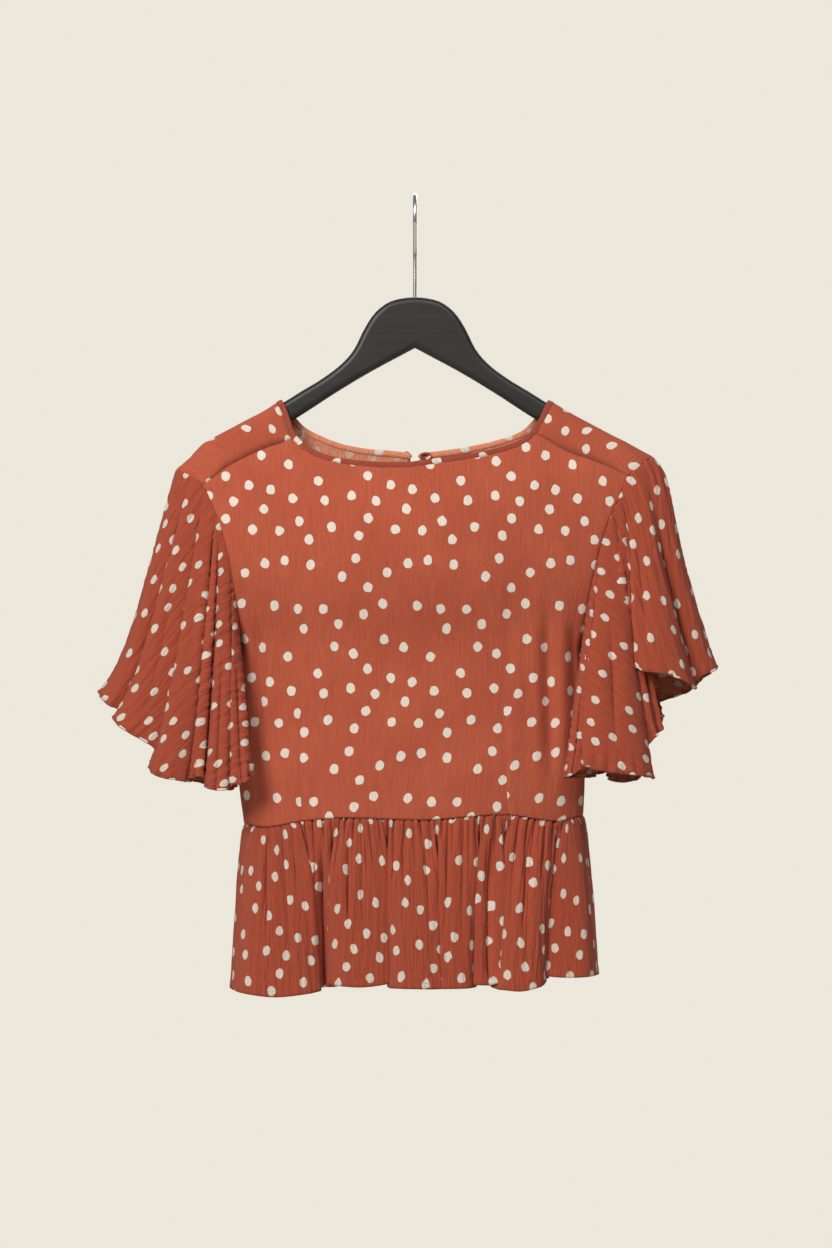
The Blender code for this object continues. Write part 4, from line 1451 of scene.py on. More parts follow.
BACK_CREASES = rows(
    Crease,  # x_top, z_top, x_foot, z_foot, width, depth, fade
    (-146, -372, -139, -530, 5.0, -3.4),
    (-134, -380, -128, -525, 7.0, 1.7),
    (-104, -350, -98, -520, 6.0, -1.1),
    (-70, -300, -62, -500, 9.0, 0.9),
    (-40, -340, -36, -545, 7.0, -0.8),
    (34, -350, 42, -550, 8.0, -0.9),
    (66, -300, 70, -480, 10.0, 0.9),
    (104, -360, 98, -540, 6.0, -1.4),
    (124, -352, 127, -540, 6.0, 2.0),
    (137, -368, 139, -520, 5.0, -3.4),
    (-4, -318, -8, -390, 5.0, -1.0),
)
FRONT_DARTS = (Dart(x=-100.5, z_top=-452), Dart(x=83.0, z_top=-446))
BACK_DARTS = (Dart(x=-88.0, z_top=-430), Dart(x=86.0, z_top=-434))


@dataclass
class Bodice:
    """The front and back between the yokes and the waist, with darts, seams and soft creases."""

    wardrobe: Wardrobe
    columns: int = 168
    rows: int = 132
    soft_rows: float = 9.0
    soft_edge: float = 0.12
    slit_rows: float = 3 / 11
    slit_half: float = 7.0 * MM
    slit_top_half: float = 2.5 * MM
    slit_bead: float = 1.15 * MM
    slit_bead_out: float = 0.3 * MM
    pucker: float = 0.35 * MM
    pucker_pitch: float = 8.5 * MM
    pucker_rise: float = 9.0 * MM
    slit_reach: float = 22.0 * MM
    slit_bulge: float = 0.8
    slit_closes: float = 0.92
    seam_roll: tuple[float, float] = (1.0 * MM, 0.14 * MM)
    print_shift: tuple[float, float] = (0.031, 0.017)

    def _grid(self, face: int, creases: Sequence[Crease], darts: Sequence[Dart], split: bool) -> ClothGrid:
        """Work out one panel.

        Args:
            face: -1 for the front, 1 for the back.
            creases: Its soft folds.
            darts: Its darts.
            split: Whether the middle column is doubled for a slit.

        Returns:
            Its grid, whose columns run from the waist up.
        """
        shares = np.linspace(0, 1, self.columns + 1)
        for dart in darts:
            across = np.array([CUT.waist(v, face).x for v in shares])
            nearest = int(np.argmin(np.abs(across - dart.x * MM)))
            shares[nearest] = float(np.interp(dart.x * MM, across, shares))
        middle = self.columns // 2
        if split:
            shares = np.concatenate([shares[:middle], [0.5 - 1e-6, 0.5 + 1e-6], shares[middle + 1 :]])
        heights = np.linspace(0, 1, self.rows + 1)
        points = self._soften(CUT.panel(face, shares, heights), shares, heights)
        x, z = points[..., 0], points[..., 2]
        height = sum(crease.height(x, z) for crease in creases)
        take_up = np.zeros(x.shape)
        for dart in darts:
            column = int(np.argmin(np.abs(points[:, 0, 0] - dart.x * MM)))
            up = np.clip((z[column] - points[column, 0, 2]) / (dart.z_top * MM - points[column, 0, 2]), 0, 1)
            take_up[column:] += dart.take_up * MM * (1 - up)[None, :]
            away = np.abs(x - x[column][None, :]) / (dart.half * MM)
            height -= dart.groove * MM * np.exp(-away) * (1 - eased(0.75, 1.0, up))[None, :]
        fade = np.exp(-lengths(points, 1) / self.pucker_rise)
        phase = 2 * math.pi * lengths(points, 0)[:, :1] / self.pucker_pitch
        height += self.pucker * fade * (np.sin(phase) + 0.6 * np.sin(2.3 * phase + 1.0))
        points[..., 1] += face * height
        steps = np.hypot(np.diff(points[..., 0], axis=0), np.diff(points[..., 1], axis=0))
        across = np.concatenate([np.zeros((1, steps.shape[1])), np.cumsum(steps, axis=0)])
        across -= across[middle : middle + 1]
        flat = np.stack([across, points[..., 2]], axis=2)
        if split:
            self._open_slit(points, heights, middle)
        flat = flat + np.array(self.print_shift) * (face + 3)
        return ClothGrid(points, flat, facing(points, face), take_up)

    def _soften(self, points: Array, shares: Array, heights: Array) -> Array:
        """Even out the panel's height lines away from its edges."""
        reach = int(3 * self.soft_rows)
        weights = bell(np.arange(-reach, reach + 1) / self.soft_rows / math.sqrt(2))
        weights /= weights.sum()
        low = 2 * points[:, :1] - points[:, reach:0:-1]
        high = 2 * points[:, -1:] - points[:, -2 : -reach - 2 : -1]
        longer = np.concatenate([low, points, high], axis=1)
        soft = sum(weight * longer[:, k : k + len(heights)] for k, weight in enumerate(weights))
        inside = eased(0.0, self.soft_edge, np.minimum(shares, 1 - shares))[:, None, None]
        return mixed(points, soft, inside * eased(0.0, 0.1, np.minimum(heights, 1 - heights))[None, :, None])

    def _open_slit(self, points: Array, heights: Array, middle: int) -> None:
        """Part the cloth at the middle column, from the neck down to the slit's foot."""
        drop = (1 - heights) / self.slit_rows
        bulge = np.sin(np.clip(drop, 0, 1) * math.pi * self.slit_bulge)
        half = mixed(self.slit_top_half, self.slit_half, bulge) * (1 - eased(self.slit_closes, 1.0, drop))
        for j, width in enumerate(half):
            shift = width * np.exp(-np.abs(points[:, j, 0]) / self.slit_reach)
            points[: middle + 1, j, 0] -= shift[: middle + 1]
            points[middle + 1 :, j, 0] += shift[middle + 1 :]

    def make_front(self) -> Piece:
        """Make the front panel."""
        grid = self._grid(-1, FRONT_CREASES, FRONT_DARTS, split=False)
        return self._finish(grid, "bodice_front")

    def make_back(self) -> Piece:
        """Make the back panel with its slit and the slit's narrow binding."""
        grid = self._grid(1, BACK_CREASES, BACK_DARTS, split=True)
        middle = self.columns // 2
        foot = int(self.rows * (1 - self.slit_rows))
        grid.gone = {(middle, row) for row in range(foot, self.rows)}
        piece = self._finish(grid, "bodice_back")
        edge = np.concatenate([grid.points[middle, foot:-1][::-1], grid.points[middle + 1, foot:-1]])
        edge[:, 1] += self.slit_bead_out
        radii = np.full(len(edge), self.slit_bead)
        tube("back_slit_binding", edge, radii, self.wardrobe.bias)
        return piece

    def _finish(self, grid: ClothGrid, node: str) -> Piece:
        """Roll the panel's seams in and put it in its solid's place."""
        grid.roll(*self.seam_roll, "setb")
        piece = grid.build(f"{node}_cloth", [self.wardrobe.crepe, self.wardrobe.wrong_side])
        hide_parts(node)
        return piece


@dataclass
class Yokes:
    """The two shoulder pieces over the hanger's arms."""

    wardrobe: Wardrobe
    columns: int = 46
    rows: int = 60
    flat_rows: int = 17
    flatness: float = 0.75
    seam_roll: tuple[float, float] = (0.9 * MM, 0.12 * MM)

    def _flatten(self, points: Array) -> None:
        """Draw the cloth straighter from the seam, its first row here, up to its last row here."""
        share = np.linspace(0, 1, points.shape[1])[None, :]
        chord = mixed(points[:, :1, 1], points[:, -1:, 1], share)
        points[..., 1] = mixed(points[..., 1], chord, self.flatness * (1 - share**3))

    def make(self, side: Side) -> Piece:
        """Make one shoulder piece."""
        s = side.value
        corner = CUT.yoke_corner
        alongs = [CUT.seam_along(corner * (1 - k / self.columns)) for k in range(self.columns + 1)]
        turns = [2 * k / self.rows - 1 for k in range(self.rows + 1)]
        points = np.array([[CUT.yoke(s, along, turn) for turn in turns] for along in alongs])
        for half in (points, points[:, ::-1]):
            self._flatten(half[:, : self.flat_rows + 1])
        across = s * lengths(points[:, self.rows // 2 :], 0)[:, :1]
        flat = np.stack([across + np.zeros(points.shape[:2]), lengths(points, 1)], axis=2)
        flat = flat + np.array([0.043, 0.012 if s < 0 else 0.061])
        grid = ClothGrid(points, flat, facing(points, np.sign(points[..., 1]), 1.0))
        grid.roll(*self.seam_roll, "setb")
        node = "yoke_right" if s < 0 else "yoke_left"
        piece = grid.build(f"{node}_cloth", [self.wardrobe.crepe, self.wardrobe.wrong_side])
        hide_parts(node)
        return piece


@dataclass(frozen=True)
class SleeveForm:
    """How one sleeve's folds fall between its armhole and its hem."""

    side: Side
    front: Hem
    back: Hem
    lip: float
    puff: float
    grain: float
    seed: int
    node: str
    folds: tuple[Fold, ...]


SLEEVE_RIGHT = SleeveForm(
    side=Side.LOW,
    front=SLEEVE_LOW_FRONT,
    back=SLEEVE_LOW_BACK,
    lip=0.21,
    puff=0.0,
    grain=12.0,
    seed=3,
    node="sleeve_right",
    folds=rows(
        Fold,  # place, depth, top, width, lap, foot
        (1.7, 2.4, 0.45, 4.0),
        (2.35, 1.1, 0.3, 5.0, 0.0, 0.95),
        (3.1, 3.2, 0.62, 2.6, 3.0),
        (4.2, 6.0, 0.06, 2.8, 3.5),
        (4.72, 7.0, 0.03, 2.0, 2.0),
        (5.6, 1.8, 0.4, 2.2),
        (6.3, 4.5, 0.22, 2.2, 2.5),
        (7.2, 2.2, 0.3, 2.4),
        (8.0, 3.0, 0.3, 2.2),
        (10.8, 4.0, 0.15),
        (12.4, 5.0, 0.1),
        (13.2, 1.6, 0.3, 4.0, 0.0, 0.9),
        (14.0, 4.2, 0.14),
        (15.8, 2.6, 0.4, 3.4),
    ),
)
SLEEVE_LEFT = SleeveForm(
    side=Side.HIGH,
    front=SLEEVE_HIGH_FRONT,
    back=SLEEVE_HIGH_BACK,
    lip=0.05,
    puff=7.0 * MM,
    grain=-12.0,
    seed=4,
    node="sleeve_left",
    folds=rows(
        Fold,  # place, depth, top, width, lap, foot
        (1.7, 2.6, 0.35, 3.4),
        (3.0, 1.8, 0.25, 3.6, 0.0, 0.95),
        (3.45, 4.2, 0.15, 2.0, -2.0),
        (3.85, 5.5, 0.12, 2.2),
        (4.4, 6.5, 0.03, 2.4, -3.5),
        (5.3, 2.4, 0.35, 3.4, 0.0, 0.97),
        (6.2, 4.2, 0.25, 2.4),
        (7.3, 2.0, 0.45, 2.2),
        (8.2, 3.0, 0.3, 2.2),
        (10.8, 4.0, 0.15),
        (12.4, 5.0, 0.1),
        (13.3, 1.5, 0.35, 4.0, 0.0, 0.9),
        (14.0, 4.4, 0.12),
        (15.8, 2.6, 0.38, 3.4),
    ),
)


@dataclass
class Sleeves:
    """The fluted sleeves with their narrow rolled hems."""

    wardrobe: Wardrobe
    columns: int = 470
    rows: int = 98
    start_gap: float = 0.1 * MM
    underarm_gap: float = 0.3 * MM
    puff_down: float = 0.125
    lettuce: float = 1.5 * MM
    lettuce_pitch: float = 13.0 * MM
    print_narrow: float = 1.3
    roll_radius: float = 1.15 * MM
    ripple_free: float = 12.0 * MM
    seam_roll: tuple[float, float] = (1.4 * MM, 0.35 * MM)
    crinkle: float = 0.75 * MM
    crinkle_pitch: float = 7.5 * MM

    def _grid(self, form: SleeveForm) -> ClothGrid:
        """Work out a sleeve: a ring of straight folds from the armhole to the hem."""
        s = form.side.value
        line = HemLine()
        stops = line.stops(form.front, 0.0, UNDERARM)
        stops = stops + line.stops(form.back, UNDERARM, 2 * UNDERARM)[1:]
        places = even_places(stops, self.columns, form.folds)
        down = np.linspace(0, 1, self.rows + 1)[None, :]
        under = (1 - np.abs(places - UNDERARM) / UNDERARM)[:, None]
        start = np.array([CUT.armhole(s, place) for place in places])
        start[:, 0] += s * mixed(self.start_gap, self.underarm_gap, under[:, 0] ** 4)
        end = np.array([smooth(stops, place) for place in places])
        out = down + form.lip * (1 - under) * (down**8 - down)
        points = drawn(start, end, out, down, down)
        reach = down / self.puff_down
        points[..., 0] += s * form.puff * reach * np.exp(1 - reach) * (1 - under) ** 2
        flat = turned(unrolled(points), form.grain) * np.array([self.print_narrow, 1.0])
        grid = ClothGrid(points, flat, facing(points, np.sign(points[..., 1] + 1e-9)))
        grid.lift(self._ripples(lengths(points, 0)[:, -1:], down))
        grid.fold(form.folds, places, down)
        grid.crinkle(self.crinkle, self.crinkle_pitch, form.seed)
        grid.roll(*self.seam_roll, "t")
        return grid

    def _ripples(self, run: Array, down: Array) -> Array:
        """How far the hem's small ripples stand out, along the hem and down the sleeve."""
        wave = 2 * math.pi * run / self.lettuce_pitch
        phase = waves(run, (1.7, 41.0, 0.0), (0.9, 17.0, 1.3))
        small = 0.45 * np.sin(2.6 * wave - 1.4 * phase) + 0.55 * np.sin(1.37 * wave + 2.0 * phase)
        uneven = 0.55 + waves(run, (0.45, 29.0, 2.0))
        hem = self.lettuce * eased(HEM_FROM, 1.0, down) * uneven * (np.sin(wave + phase) + small)
        return hem * np.minimum(1.0, np.minimum(run, run[-1:] - run) / self.ripple_free)

    def make(self, form: SleeveForm) -> tuple[Piece, Piece]:
        """Make one sleeve and its rolled hem.

        Args:
            form: The sleeve's form.

        Returns:
            The sleeve and the hem.
        """
        grid = self._grid(form)
        piece = grid.build(f"{form.node}_cloth", [self.wardrobe.crinkled, self.wardrobe.crinkled_inside])
        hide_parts(form.node)
        edge = grid.points[:-1, -1]
        run = lengths(grid.points, 0)[:-1, -1]
        radii = self.roll_radius * (1 + waves(run, (0.16, 2.2, 0.0), (0.1, 5.1, 0.0)))
        hem = tube(form.node + "_hem", edge, radii, self.wardrobe.bias, sides=8, closed=True)
        return piece, hem


PEPLUM_FRONT_FOLDS = rows(
    Fold,  # place, depth, top, width, lap, foot
    (0.075, 3.2, 0.0, 1.5, 0.0, 0.7),
    (0.130, 1.5, 0.0, 2.2, 0.0, 0.5),
    (0.174, 5.0, 0.0, 2.4, 4.0),
    (0.222, 7.0, 0.10, 5.0),
    (0.264, 5.0, 0.02, 2.4, -3.0),
    (0.315, 3.6, 0.0, 1.6, 0.0, 0.72),
    (0.352, 2.2, 0.0, 1.6, 0.0, 0.45),
    (0.420, 5.0, 0.0, 2.0, -3.0),
    (0.470, 1.6, 0.0, 1.8, 0.0, 0.5),
    (0.525, 2.2, 0.0, 1.6, 0.0, 0.6),
    (0.560, 6.5, 0.0, 1.9, 3.5),
    (0.698, 6.5, 0.02, 2.4, 3.5),
    (0.773, 5.5, 0.0, 2.2, -3.0),
    (0.735, 5.0, 0.08, 4.5),
    (0.850, 3.4, 0.0, 1.8, 0.0, 0.75),
    (0.890, 2.0, 0.0, 1.6, 0.0, 0.5),
    (0.930, 4.6, 0.0, 2.2, 3.0),
)
PEPLUM_BACK_FOLDS = rows(
    Fold,  # place, depth, top, width, lap, foot
    (0.060, 1.8, 0.1, 3.2, 0.0, 0.85),
    (0.140, 4.4, 0.02, 2.2, 2.5),
    (0.215, 1.6, 0.1, 2.8, 0.0, 0.7),
    (0.300, 5.4, 0.0, 2.4, -3.0),
    (0.430, 3.8, 0.03, 2.0),
    (0.500, 1.6, 0.05, 2.6, 0.0, 0.65),
    (0.570, 5.0, 0.02, 2.2, 2.8),
    (0.720, 5.8, 0.0, 2.4, -3.0),
    (0.790, 1.8, 0.1, 2.8, 0.0, 0.8),
    (0.860, 4.0, 0.03, 2.2),
    (0.935, 2.0, 0.1, 2.6),
)


@dataclass(frozen=True)
class Curl:
    """A stretch of the hem that turns up a little and ripples."""

    place: float
    half: float
    depth: float

    def height(self, places: Array, down: Array) -> Array:
        """How far it stands out, at each place along the hem and each step down."""
        near = bell((places - self.place) / self.half)[:, None]
        ripple = 1 + 0.5 * np.sin(260 * (places - self.place))[:, None]
        return self.depth * MM * near * ripple * eased(HEM_FROM, 1.0, down)


PEPLUM_FRONT_CURLS = (Curl(place=0.775, half=0.034, depth=4.5),)
PEPLUM_BACK_CURLS = (Curl(place=0.32, half=0.03, depth=3.0),)


@dataclass
class Peplum:
    """The gathered skirt below the waist, with a stitched hem."""

    wardrobe: Wardrobe
    columns: int = 700
    rows: int = 56
    gathers: int = 44
    gather_depth: float = 6.5 * MM
    gather_sharp: float = 4.6
    gather_lengths: tuple[float, ...] = (0.16, 0.22, 0.3, 0.42, 0.62, 0.95)
    gather_apart: tuple[float, float] = (0.65, 1.35)
    gather_stretch: tuple[float, float] = (0.8, 1.2)
    gather_heights: tuple[float, float] = (0.6, 1.3)
    print_narrow: float = 1.12
    swing: float = 0.6
    hem_width: float = 6.0 * MM
    seam_roll: tuple[float, float] = (1.6 * MM, 0.5 * MM)
    single_wall: float = 0.5
    hem_wall: float = 0.95
    crinkle: float = 0.5 * MM
    crinkle_pitch: float = 6.0 * MM
    print_shift: tuple[float, float] = (0.052, 0.049)
    seed: int = 5

    def _gathers(self, shares: Array, down: Array) -> Array:
        """How far the gathers stand out: rounded ridges with sharp valleys, uneven in length."""
        rng = random.Random(self.seed)
        valleys = [0.0]
        while valleys[-1] < 1.0:
            valleys.append(valleys[-1] + rng.uniform(*self.gather_apart) / self.gathers)
        reach = [rng.choice(self.gather_lengths) * rng.uniform(*self.gather_stretch) for _ in valleys]
        deep = [rng.uniform(*self.gather_heights) for _ in valleys]
        height = np.zeros((len(shares), down.shape[1]))
        for place, long, depth in zip(valleys, reach, deep):
            away = np.abs(shares[:, None] - place) * self.gathers
            strength = depth * np.clip(1 - down / long, 0.0, 1.0) ** 0.8
            height -= strength * np.exp(-away * self.gather_sharp)
        return (height - height.mean(axis=0, keepdims=True)) * self.gather_depth

    def _waist_share(self, place: float) -> float:
        """The share along the waist that lies straight above a place on the hem line."""
        across = 2 * place - 1
        return math.acos(-math.copysign(abs(across) ** (CUT.waist_power / 2), across)) / math.pi

    def make(
        self, face: Face, hem: Hem, folds: Sequence[Fold], curls: Sequence[Curl]
    ) -> tuple[Piece, Piece]:
        """Make one half and its stitches.

        Args:
            face: The front or the back.
            hem: Its hem's table.
            folds: Its long folds.
            curls: The stretches where its hem turns up.

        Returns:
            The cloth and the stitches.
        """
        f = face.value
        stops = HemLine().stops(hem, 0.0, 1.0)
        places = even_places(stops, self.columns, folds)
        down = np.linspace(0, 1, self.rows + 1)[None, :]
        start = np.array([CUT.waist(self._waist_share(place), f) for place in places])
        start[:, 2] -= CUT.waist_gap
        end = np.array([smooth(stops, place) for place in places])
        swing = down**self.swing
        points = drawn(start, end, swing, swing, down)
        edge = np.minimum(1.0, 12 * np.minimum(places, 1 - places))[:, None]
        points[..., 1] += f * edge * self._gathers(places, down)
        width = lengths(points, 0)[:, -1:] * self.print_narrow
        flat = np.stack([np.repeat(width, self.rows + 1, axis=1), -lengths(points, 1)], axis=2)
        flat = flat + np.array(self.print_shift) * (f + 2)
        grid = ClothGrid(points, flat, facing(points, f))
        for curl in curls:
            grid.lift(curl.height(places, down))
        grid.fold(folds, places, down)
        grid.crinkle(self.crinkle, self.crinkle_pitch, 7 if f < 0 else 8)
        grid.roll(*self.seam_roll, "t")
        left = lengths(grid.points, 1)
        left = left[:, -1:] - left
        in_hem = 1 - eased(0.9 * self.hem_width, 1.1 * self.hem_width, left)
        thick = mixed(self.single_wall, self.hem_wall, in_hem)
        node = "peplum_front" if f < 0 else "peplum_back"
        finishes = [self.wardrobe.crinkled, self.wardrobe.crinkled_inside]
        piece = grid.build(f"{node}_cloth", finishes, hem=thick)
        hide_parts(node)
        row = int(np.argmin(np.abs(left[len(left) // 2] - 0.85 * self.hem_width)))
        line = grid.points[:, row] + grid.outward()[:, row] * 0.8 * MM
        stitches = Seam().sew(f"{node}_hem_stitches", [line], self.wardrobe.thread)
        return piece, stitches


@dataclass
class Neck:
    """The bound edge of the neck, its stitches, and the button and loop behind it."""

    wardrobe: Wardrobe
    columns: int = 420
    around: int = 18
    half_wide: float = 2.75 * MM
    half_thick: float = 1.0 * MM
    squareness: float = 3.0
    print_shift: tuple[float, float] = (0.07, 0.033)
    pinch: float = 0.13 * MM
    end_taper: float = 2.2 * MM
    stitch_line: float = 4.4 * MM
    groove: float = 0.35 * MM
    groove_half: float = 0.5 * MM
    seam: Seam = Seam(length=1.7 * MM, pitch=2.4 * MM)

    def _frames(self) -> tuple[Array, Array, Array]:
        """The band's free edge, the way across it and the way out of it, along its whole length."""
        last = 2 * NECK_FRONT
        places = np.linspace(0, last, self.columns + 1)
        ats = [(-1, place) if place <= NECK_FRONT else (1, last - place) for place in places]
        edges = np.array([CUT.neck_edge(side, at) for side, at in ats])
        aways = np.array([CUT.neck_seam(side, at, 1.0) for side, at in ats]) - edges
        normal = unit(np.cross(unit(np.gradient(edges, axis=0)), aways))
        normal *= np.sign((normal[:, 1] * edges[:, 1]).sum())
        return edges, aways, normal

    def make_binding(self) -> tuple[Piece, Piece]:
        """Make the folded band and the line of stitches on it."""
        edges, aways, normals = self._frames()
        run = run_of(edges)
        pinch = self.pinch * waves(run, (1.0, 1.9, 0.0), (0.7, 3.7, 0.0))
        ends = np.minimum(run, run[-1] - run)
        narrow = np.sqrt(np.clip(ends / self.end_taper, 0.0, 1.0))[:, None]
        angle = np.linspace(0, 2 * math.pi, self.around + 1)[None, :]
        ways = (np.cos(angle), np.sin(angle))
        wide, thick = (np.sign(way) * np.abs(way) ** (2 / self.squareness) for way in ways)
        reach = self.half_wide * (1 - wide * narrow)
        groove = self.groove * bell((reach - self.stitch_line) / self.groove_half)
        depth = (self.half_thick + pinch[:, None] - groove) * narrow * thick
        points = edges[:, None] + aways[:, None] * reach[..., None] + normals[:, None] * depth[..., None]
        grid = GridMesh("neck_band", self.columns, self.around)
        grid.place(points)
        girth = np.linspace(0, 4 * (self.half_wide + self.half_thick), self.around + 1)[None, :]
        shift_x, shift_y = self.print_shift
        grid.lay_out(np.stack(np.broadcast_arrays(run[:, None] + shift_x, girth + shift_y), axis=2))
        # Painted light: the inner faces of the band's back part take the lighter inside copy of the bias.
        column, turn = grid.cells().T
        inner = (turn >= self.around // 2) & (edges[np.minimum(column, self.columns), 1] > 4 * MM)
        grid.mesh.polygons.foreach_set("material_index", inner.astype(np.int32))
        band = show("neck_band", grid.close(), [self.wardrobe.bias, self.wardrobe.bias_inside])
        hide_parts("neck_binding")
        middle, lift = edges + aways * self.stitch_line, normals * (self.half_thick - 0.1 * MM)
        lines = [middle - lift, middle + lift]
        stitches = self.seam.sew("neck_band_stitches", lines, self.wardrobe.thread)
        return band, stitches

    def make_closure(self) -> tuple[Piece, Piece]:
        """Make the covered button and the bunched loop."""
        low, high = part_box("neck_button")
        centre = (Vector(low) + Vector(high)) / 2
        radius = (high[0] - low[0]) / 2
        bm = bmesh.new()
        bmesh.ops.create_uvsphere(bm, u_segments=40, v_segments=20, radius=1.0)
        uv = bm.loops.layers.uv.new("Cut")
        flatten = (high[1] - low[1]) / 2 / radius
        for vert in bm.verts:
            ripple = 1 + 0.02 * math.sin(9 * math.atan2(vert.co.z, vert.co.x)) * abs(vert.co.y)
            vert.co = Vector((vert.co.x * ripple, vert.co.y * flatten, vert.co.z * ripple)) * radius + centre
        for face in bm.faces:
            for loop in face.loops:
                loop[uv].uv = (loop.vert.co.x, loop.vert.co.z)
        mesh = mesh_of("button_cover", bm)
        mesh.shade_smooth()
        button = show("button_cover", mesh, [self.wardrobe.bias])
        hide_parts("neck_button")
        low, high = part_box("neck_loop")
        centre = np.array((Vector(low) + Vector(high)) / 2)
        wire = (high[1] - low[1]) / 2
        turns = np.linspace(0, 2 * math.pi, 72, endpoint=False)
        wide, tall = (high[0] - low[0]) / 2 - wire, (high[2] - low[2]) / 2 - wire
        ring = np.stack([wide * np.cos(turns), 0.25 * wire * np.sin(3 * turns), tall * np.sin(turns)], axis=1)
        radii = wire * (1 + 0.12 * np.sin(11 * turns))
        loop_piece = tube("button_loop", centre + ring, radii, self.wardrobe.bias, closed=True)
        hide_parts("neck_loop")
        return button, loop_piece


@dataclass
class Hanger:
    """The flat lacquered hanger and its chrome hook."""

    wardrobe: Wardrobe
    thick: float = 14.0 * MM
    bevel: float = 5.2 * MM
    outline_points: int = 168
    wire_radius: float = 1.8 * MM
    wire_points: int = 260
    hook_radius: float = 18.0 * MM
    bevel_steps: int = 7
    stem: tuple[tuple[float, float], ...] = ((0.0, -96.0), (1.0, -80.0), (1.8, -66.0), (2.2, -60.0))
    stem_top: float = -54.0 * MM
    stem_share: float = 0.92
    bend_foot: float = 270.0
    bend_back: float = 200.0
    bend_tip: float = -25.0
    bend_spacing: float = 0.15
    step_rise: tuple[float, float] = (-58.0 * MM, -40.0 * MM)

    def _outline(self) -> Array:
        """The outline's points, from the apex round the +X arm and back by the -X arm."""
        corners = (OutlineRow(0.0, HANGER_APEX_Z), *HANGER_HALF, OutlineRow(0.0, HANGER_TOP_Z))
        corners = np.array(corners) * MM
        along = run_of(corners)
        stops = [(a, Vector(c)) for a, c in zip(along, corners)]
        stops.append((2 * along[-1] - along[-2], Vector((-corners[-2][0], corners[-2][1]))))
        places = np.linspace(0, along[-1], self.outline_points // 2 + 1)
        half = np.array([smooth(stops, at) for at in places])
        other = half[1:-1][::-1] * np.array([-1.0, 1.0])
        return np.concatenate([half, other])

    def make_body(self) -> Piece:
        """Make the wooden body."""
        outline = self._outline()
        bm = bmesh.new()
        made = bmesh.ops.create_circle(bm, cap_ends=True, segments=len(outline), radius=1.0)
        ring = sorted(made["verts"], key=lambda v: math.atan2(v.co.y, v.co.x) % (2 * math.pi))
        for vert, (x, z) in zip(ring, outline):
            vert.co = (x, -self.thick / 2, z)
        grown = bmesh.ops.extrude_face_region(bm, geom=list(bm.faces))
        moved = [item for item in grown["geom"] if isinstance(item, bmesh.types.BMVert)]
        bmesh.ops.translate(bm, verts=moved, vec=(0.0, self.thick, 0.0))
        bmesh.ops.recalc_face_normals(bm, faces=bm.faces)
        rims = [e for e in bm.edges if len(e.link_faces) == 2 and e.calc_face_angle() > math.radians(60)]
        rims = [e for e in rims if any(len(f.verts) > 4 for f in e.link_faces)]
        shape = {"segments": self.bevel_steps, "profile": 0.5, "affect": "EDGES", "material": -1}
        bmesh.ops.bevel(bm, geom=rims, offset=self.bevel, clamp_overlap=False, **shape)
        bmesh.ops.triangulate(bm, faces=[f for f in bm.faces if len(f.verts) > 4])
        mesh = mesh_of("hanger_wood", bm)
        mesh.shade_smooth()
        piece = show("hanger_wood", mesh, [self.wardrobe.lacquer])
        flat = piece.modifiers.new("Flat faces", "WEIGHTED_NORMAL")
        flat.weight = 100
        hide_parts("hanger_body")
        return piece

    def make_hook(self) -> Piece:
        """Make the wire hook with its step above the stem."""
        centre = Vector((0.0, 0.0, -self.hook_radius))

        def on_bend(degrees: float) -> Vector:
            """A point of the bend's middle line."""
            angle = math.radians(degrees)
            out = Vector((0.0, math.cos(angle), math.sin(angle)))
            return centre + out * (self.hook_radius + self.wire_radius)

        stops = [(place, Vector((0.0, 0.0, z * MM))) for place, z in self.stem]
        foot, step_end, steps_in, steps = self.stem[-1][0], 3.7, 6, 30
        for k in range(1, steps_in + 1):
            ease = k / steps_in
            above = Vector((0.0, 0.0, mixed(*self.step_rise, ease)))
            onto = on_bend(mixed(self.bend_foot, self.bend_back, ease))
            stops.append((mixed(foot, step_end, ease), mixed(above, onto, ease**1.3)))
        for k in range(1, steps + 1):
            degrees = mixed(self.bend_back, self.bend_tip, k / steps)
            stops.append((step_end + self.bend_spacing * k, on_bend(degrees)))
        places = np.linspace(0.0, stops[-1][0], self.wire_points)
        centres = np.array([smooth(stops, at) for at in places])
        in_stem = (centres[:, 2] < self.stem_top) & (places < step_end)
        radii = np.where(in_stem, self.wire_radius * self.stem_share, self.wire_radius)
        left = np.arange(len(places))[::-1]
        tip = np.sqrt(np.clip(1 - ((4 - np.minimum(left, 4)) / 4.4) ** 2, 0.02, 1))
        hook = tube("hook_wire", centres, radii * tip, self.wardrobe.chrome, sides=28)
        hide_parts("hanger_hook")
        return hook


class Lamp(NamedTuple):
    """A square area light: where it hangs, its side, its power in watts and its colour."""

    name: str
    place: tuple[float, float, float]
    size: float
    power: float
    colour: tuple[float, float, float]


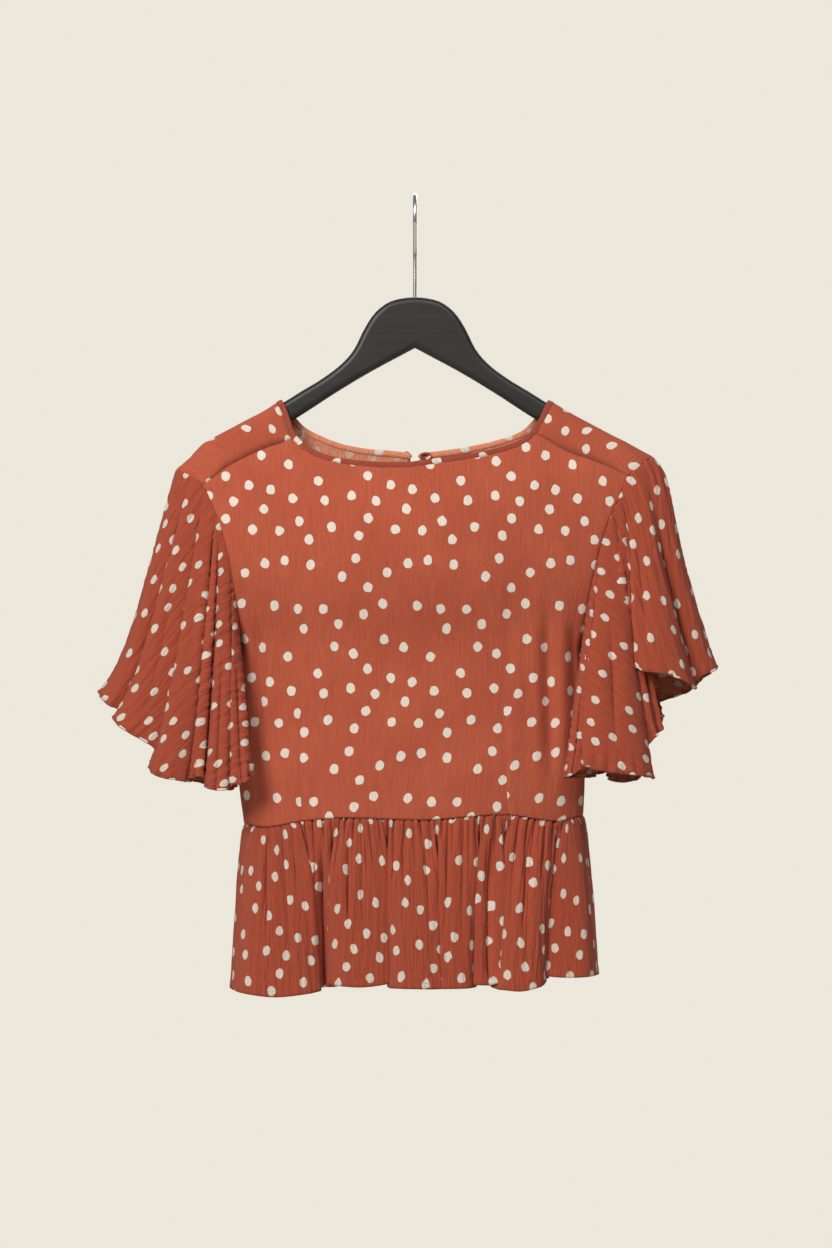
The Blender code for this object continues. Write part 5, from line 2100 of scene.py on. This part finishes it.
@dataclass(frozen=True)
class Studio:
    """The camera, the lights, the floor and the pale surround."""

    distance: float = 4.0
    centre_x: float = 0.0009
    centre_z: float = -0.3843
    frame_height: float = 1.1232
    sensor: float = 36.0
    floor_z: float = -1.7
    floor_half: float = 3.0
    ambient: float = 0.26
    aim: tuple[float, float, float] = (0.0, 0.0, -0.42)
    lamps: tuple[Lamp, ...] = rows(
        Lamp,  # name, place, size, power, colour
        ("window", (-1.5, -2.2, 1.1), 1.1, 80.0, (1.0, 0.97, 0.93)),
        ("overhead", (0.3, -1.15, 0.75), 0.8, 10.0, (0.96, 0.97, 1.0)),
        ("behind", (0.6, 2.6, 0.6), 2.8, 75.0, (1.0, 0.98, 0.95)),
    )

    def make_camera(self) -> None:
        """Place the camera level in front of the top."""
        data = bpy.data.cameras.new("camera")
        data.sensor_width = self.sensor
        data.lens = self.sensor * self.distance / self.frame_height
        camera = linked("camera", data)
        camera.location = (self.centre_x, -self.distance, self.centre_z)
        camera.rotation_euler = (math.pi / 2, 0.0, 0.0)
        bpy.context.scene.camera = camera

    def make_lights(self) -> None:
        """Light the top softly from the front, above and behind, under a pale surround."""
        for name, place, size, power, colour in self.lamps:
            data = bpy.data.lights.new(name, "AREA")
            data.size = size
            data.energy = power
            data.color = colour
            lamp = linked(name, data)
            lamp.location = place
            lamp.rotation_euler = (Vector(self.aim) - Vector(place)).to_track_quat("-Z", "Y").to_euler()
        world = bpy.data.worlds.new("surround")
        world.use_nodes = True
        tree = world.node_tree
        soft = tree.nodes["Background"]
        soft.inputs[0].default_value = (0.80, 0.80, 0.78, 1.0)
        soft.inputs[1].default_value = self.ambient
        pale = tree.nodes.new("ShaderNodeBackground")
        pale.inputs[0].default_value = (0.84, 0.80, 0.71, 1.0)
        seen = tree.nodes.new("ShaderNodeLightPath")
        both = tree.nodes.new("ShaderNodeMixShader")
        for k, socket in enumerate((seen.outputs["Is Camera Ray"], soft.outputs[0], pale.outputs[0])):
            tree.links.new(socket, both.inputs[k])
        tree.links.new(both.outputs[0], tree.nodes["World Output"].inputs[0])
        bpy.context.scene.world = world
        bpy.context.scene.view_settings.view_transform = "Standard"

    def make_floor(self) -> None:
        """Lay a plain pale floor far below the hem."""
        bm = bmesh.new()
        bmesh.ops.create_grid(bm, x_segments=1, y_segments=1, size=self.floor_half)
        bmesh.ops.translate(bm, verts=bm.verts, vec=(0.0, 0.0, self.floor_z))
        mesh = mesh_of("floor", bm)
        nodes = Nodes("pale_floor")
        nodes.feed({"Base Color": (0.74, 0.71, 0.65, 1.0), "Roughness": 0.8})
        mesh.materials.append(nodes.material)
        linked("floor", mesh)


def main() -> None:
    """Build the studio and every piece, in order."""
    studio = Studio()
    studio.make_camera()
    studio.make_lights()
    studio.make_floor()
    wardrobe = Wardrobe()
    hanger = Hanger(wardrobe)
    log.info("made %s", hanger.make_body().name)
    log.info("made %s", hanger.make_hook().name)
    bodice = Bodice(wardrobe)
    front = bodice.make_front()
    log.info("made %s", front.name)
    back = bodice.make_back()
    log.info("made %s", back.name)
    yokes = Yokes(wardrobe)
    for side in Side:
        yoke = yokes.make(side)
        log.info("made %s", yoke.name)
    sleeves = Sleeves(wardrobe)
    for form in (SLEEVE_RIGHT, SLEEVE_LEFT):
        sleeve, hem = sleeves.make(form)
        log.info("made %s", sleeve.name)
    peplum = Peplum(wardrobe)
    halves = (
        (Face.FRONT, PEPLUM_FRONT, PEPLUM_FRONT_FOLDS, PEPLUM_FRONT_CURLS),
        (Face.BACK, PEPLUM_BACK, PEPLUM_BACK_FOLDS, PEPLUM_BACK_CURLS),
    )
    for face, table, folds, curls in halves:
        skirt, stitches = peplum.make(face, table, folds, curls)
        log.info("made %s", skirt.name)
    neck = Neck(wardrobe)
    band, band_stitches = neck.make_binding()
    log.info("made %s", band.name)
    button, loop = neck.make_closure()
    log.info("made %s and %s", button.name, loop.name)


if __name__ == "__main__":
    main()
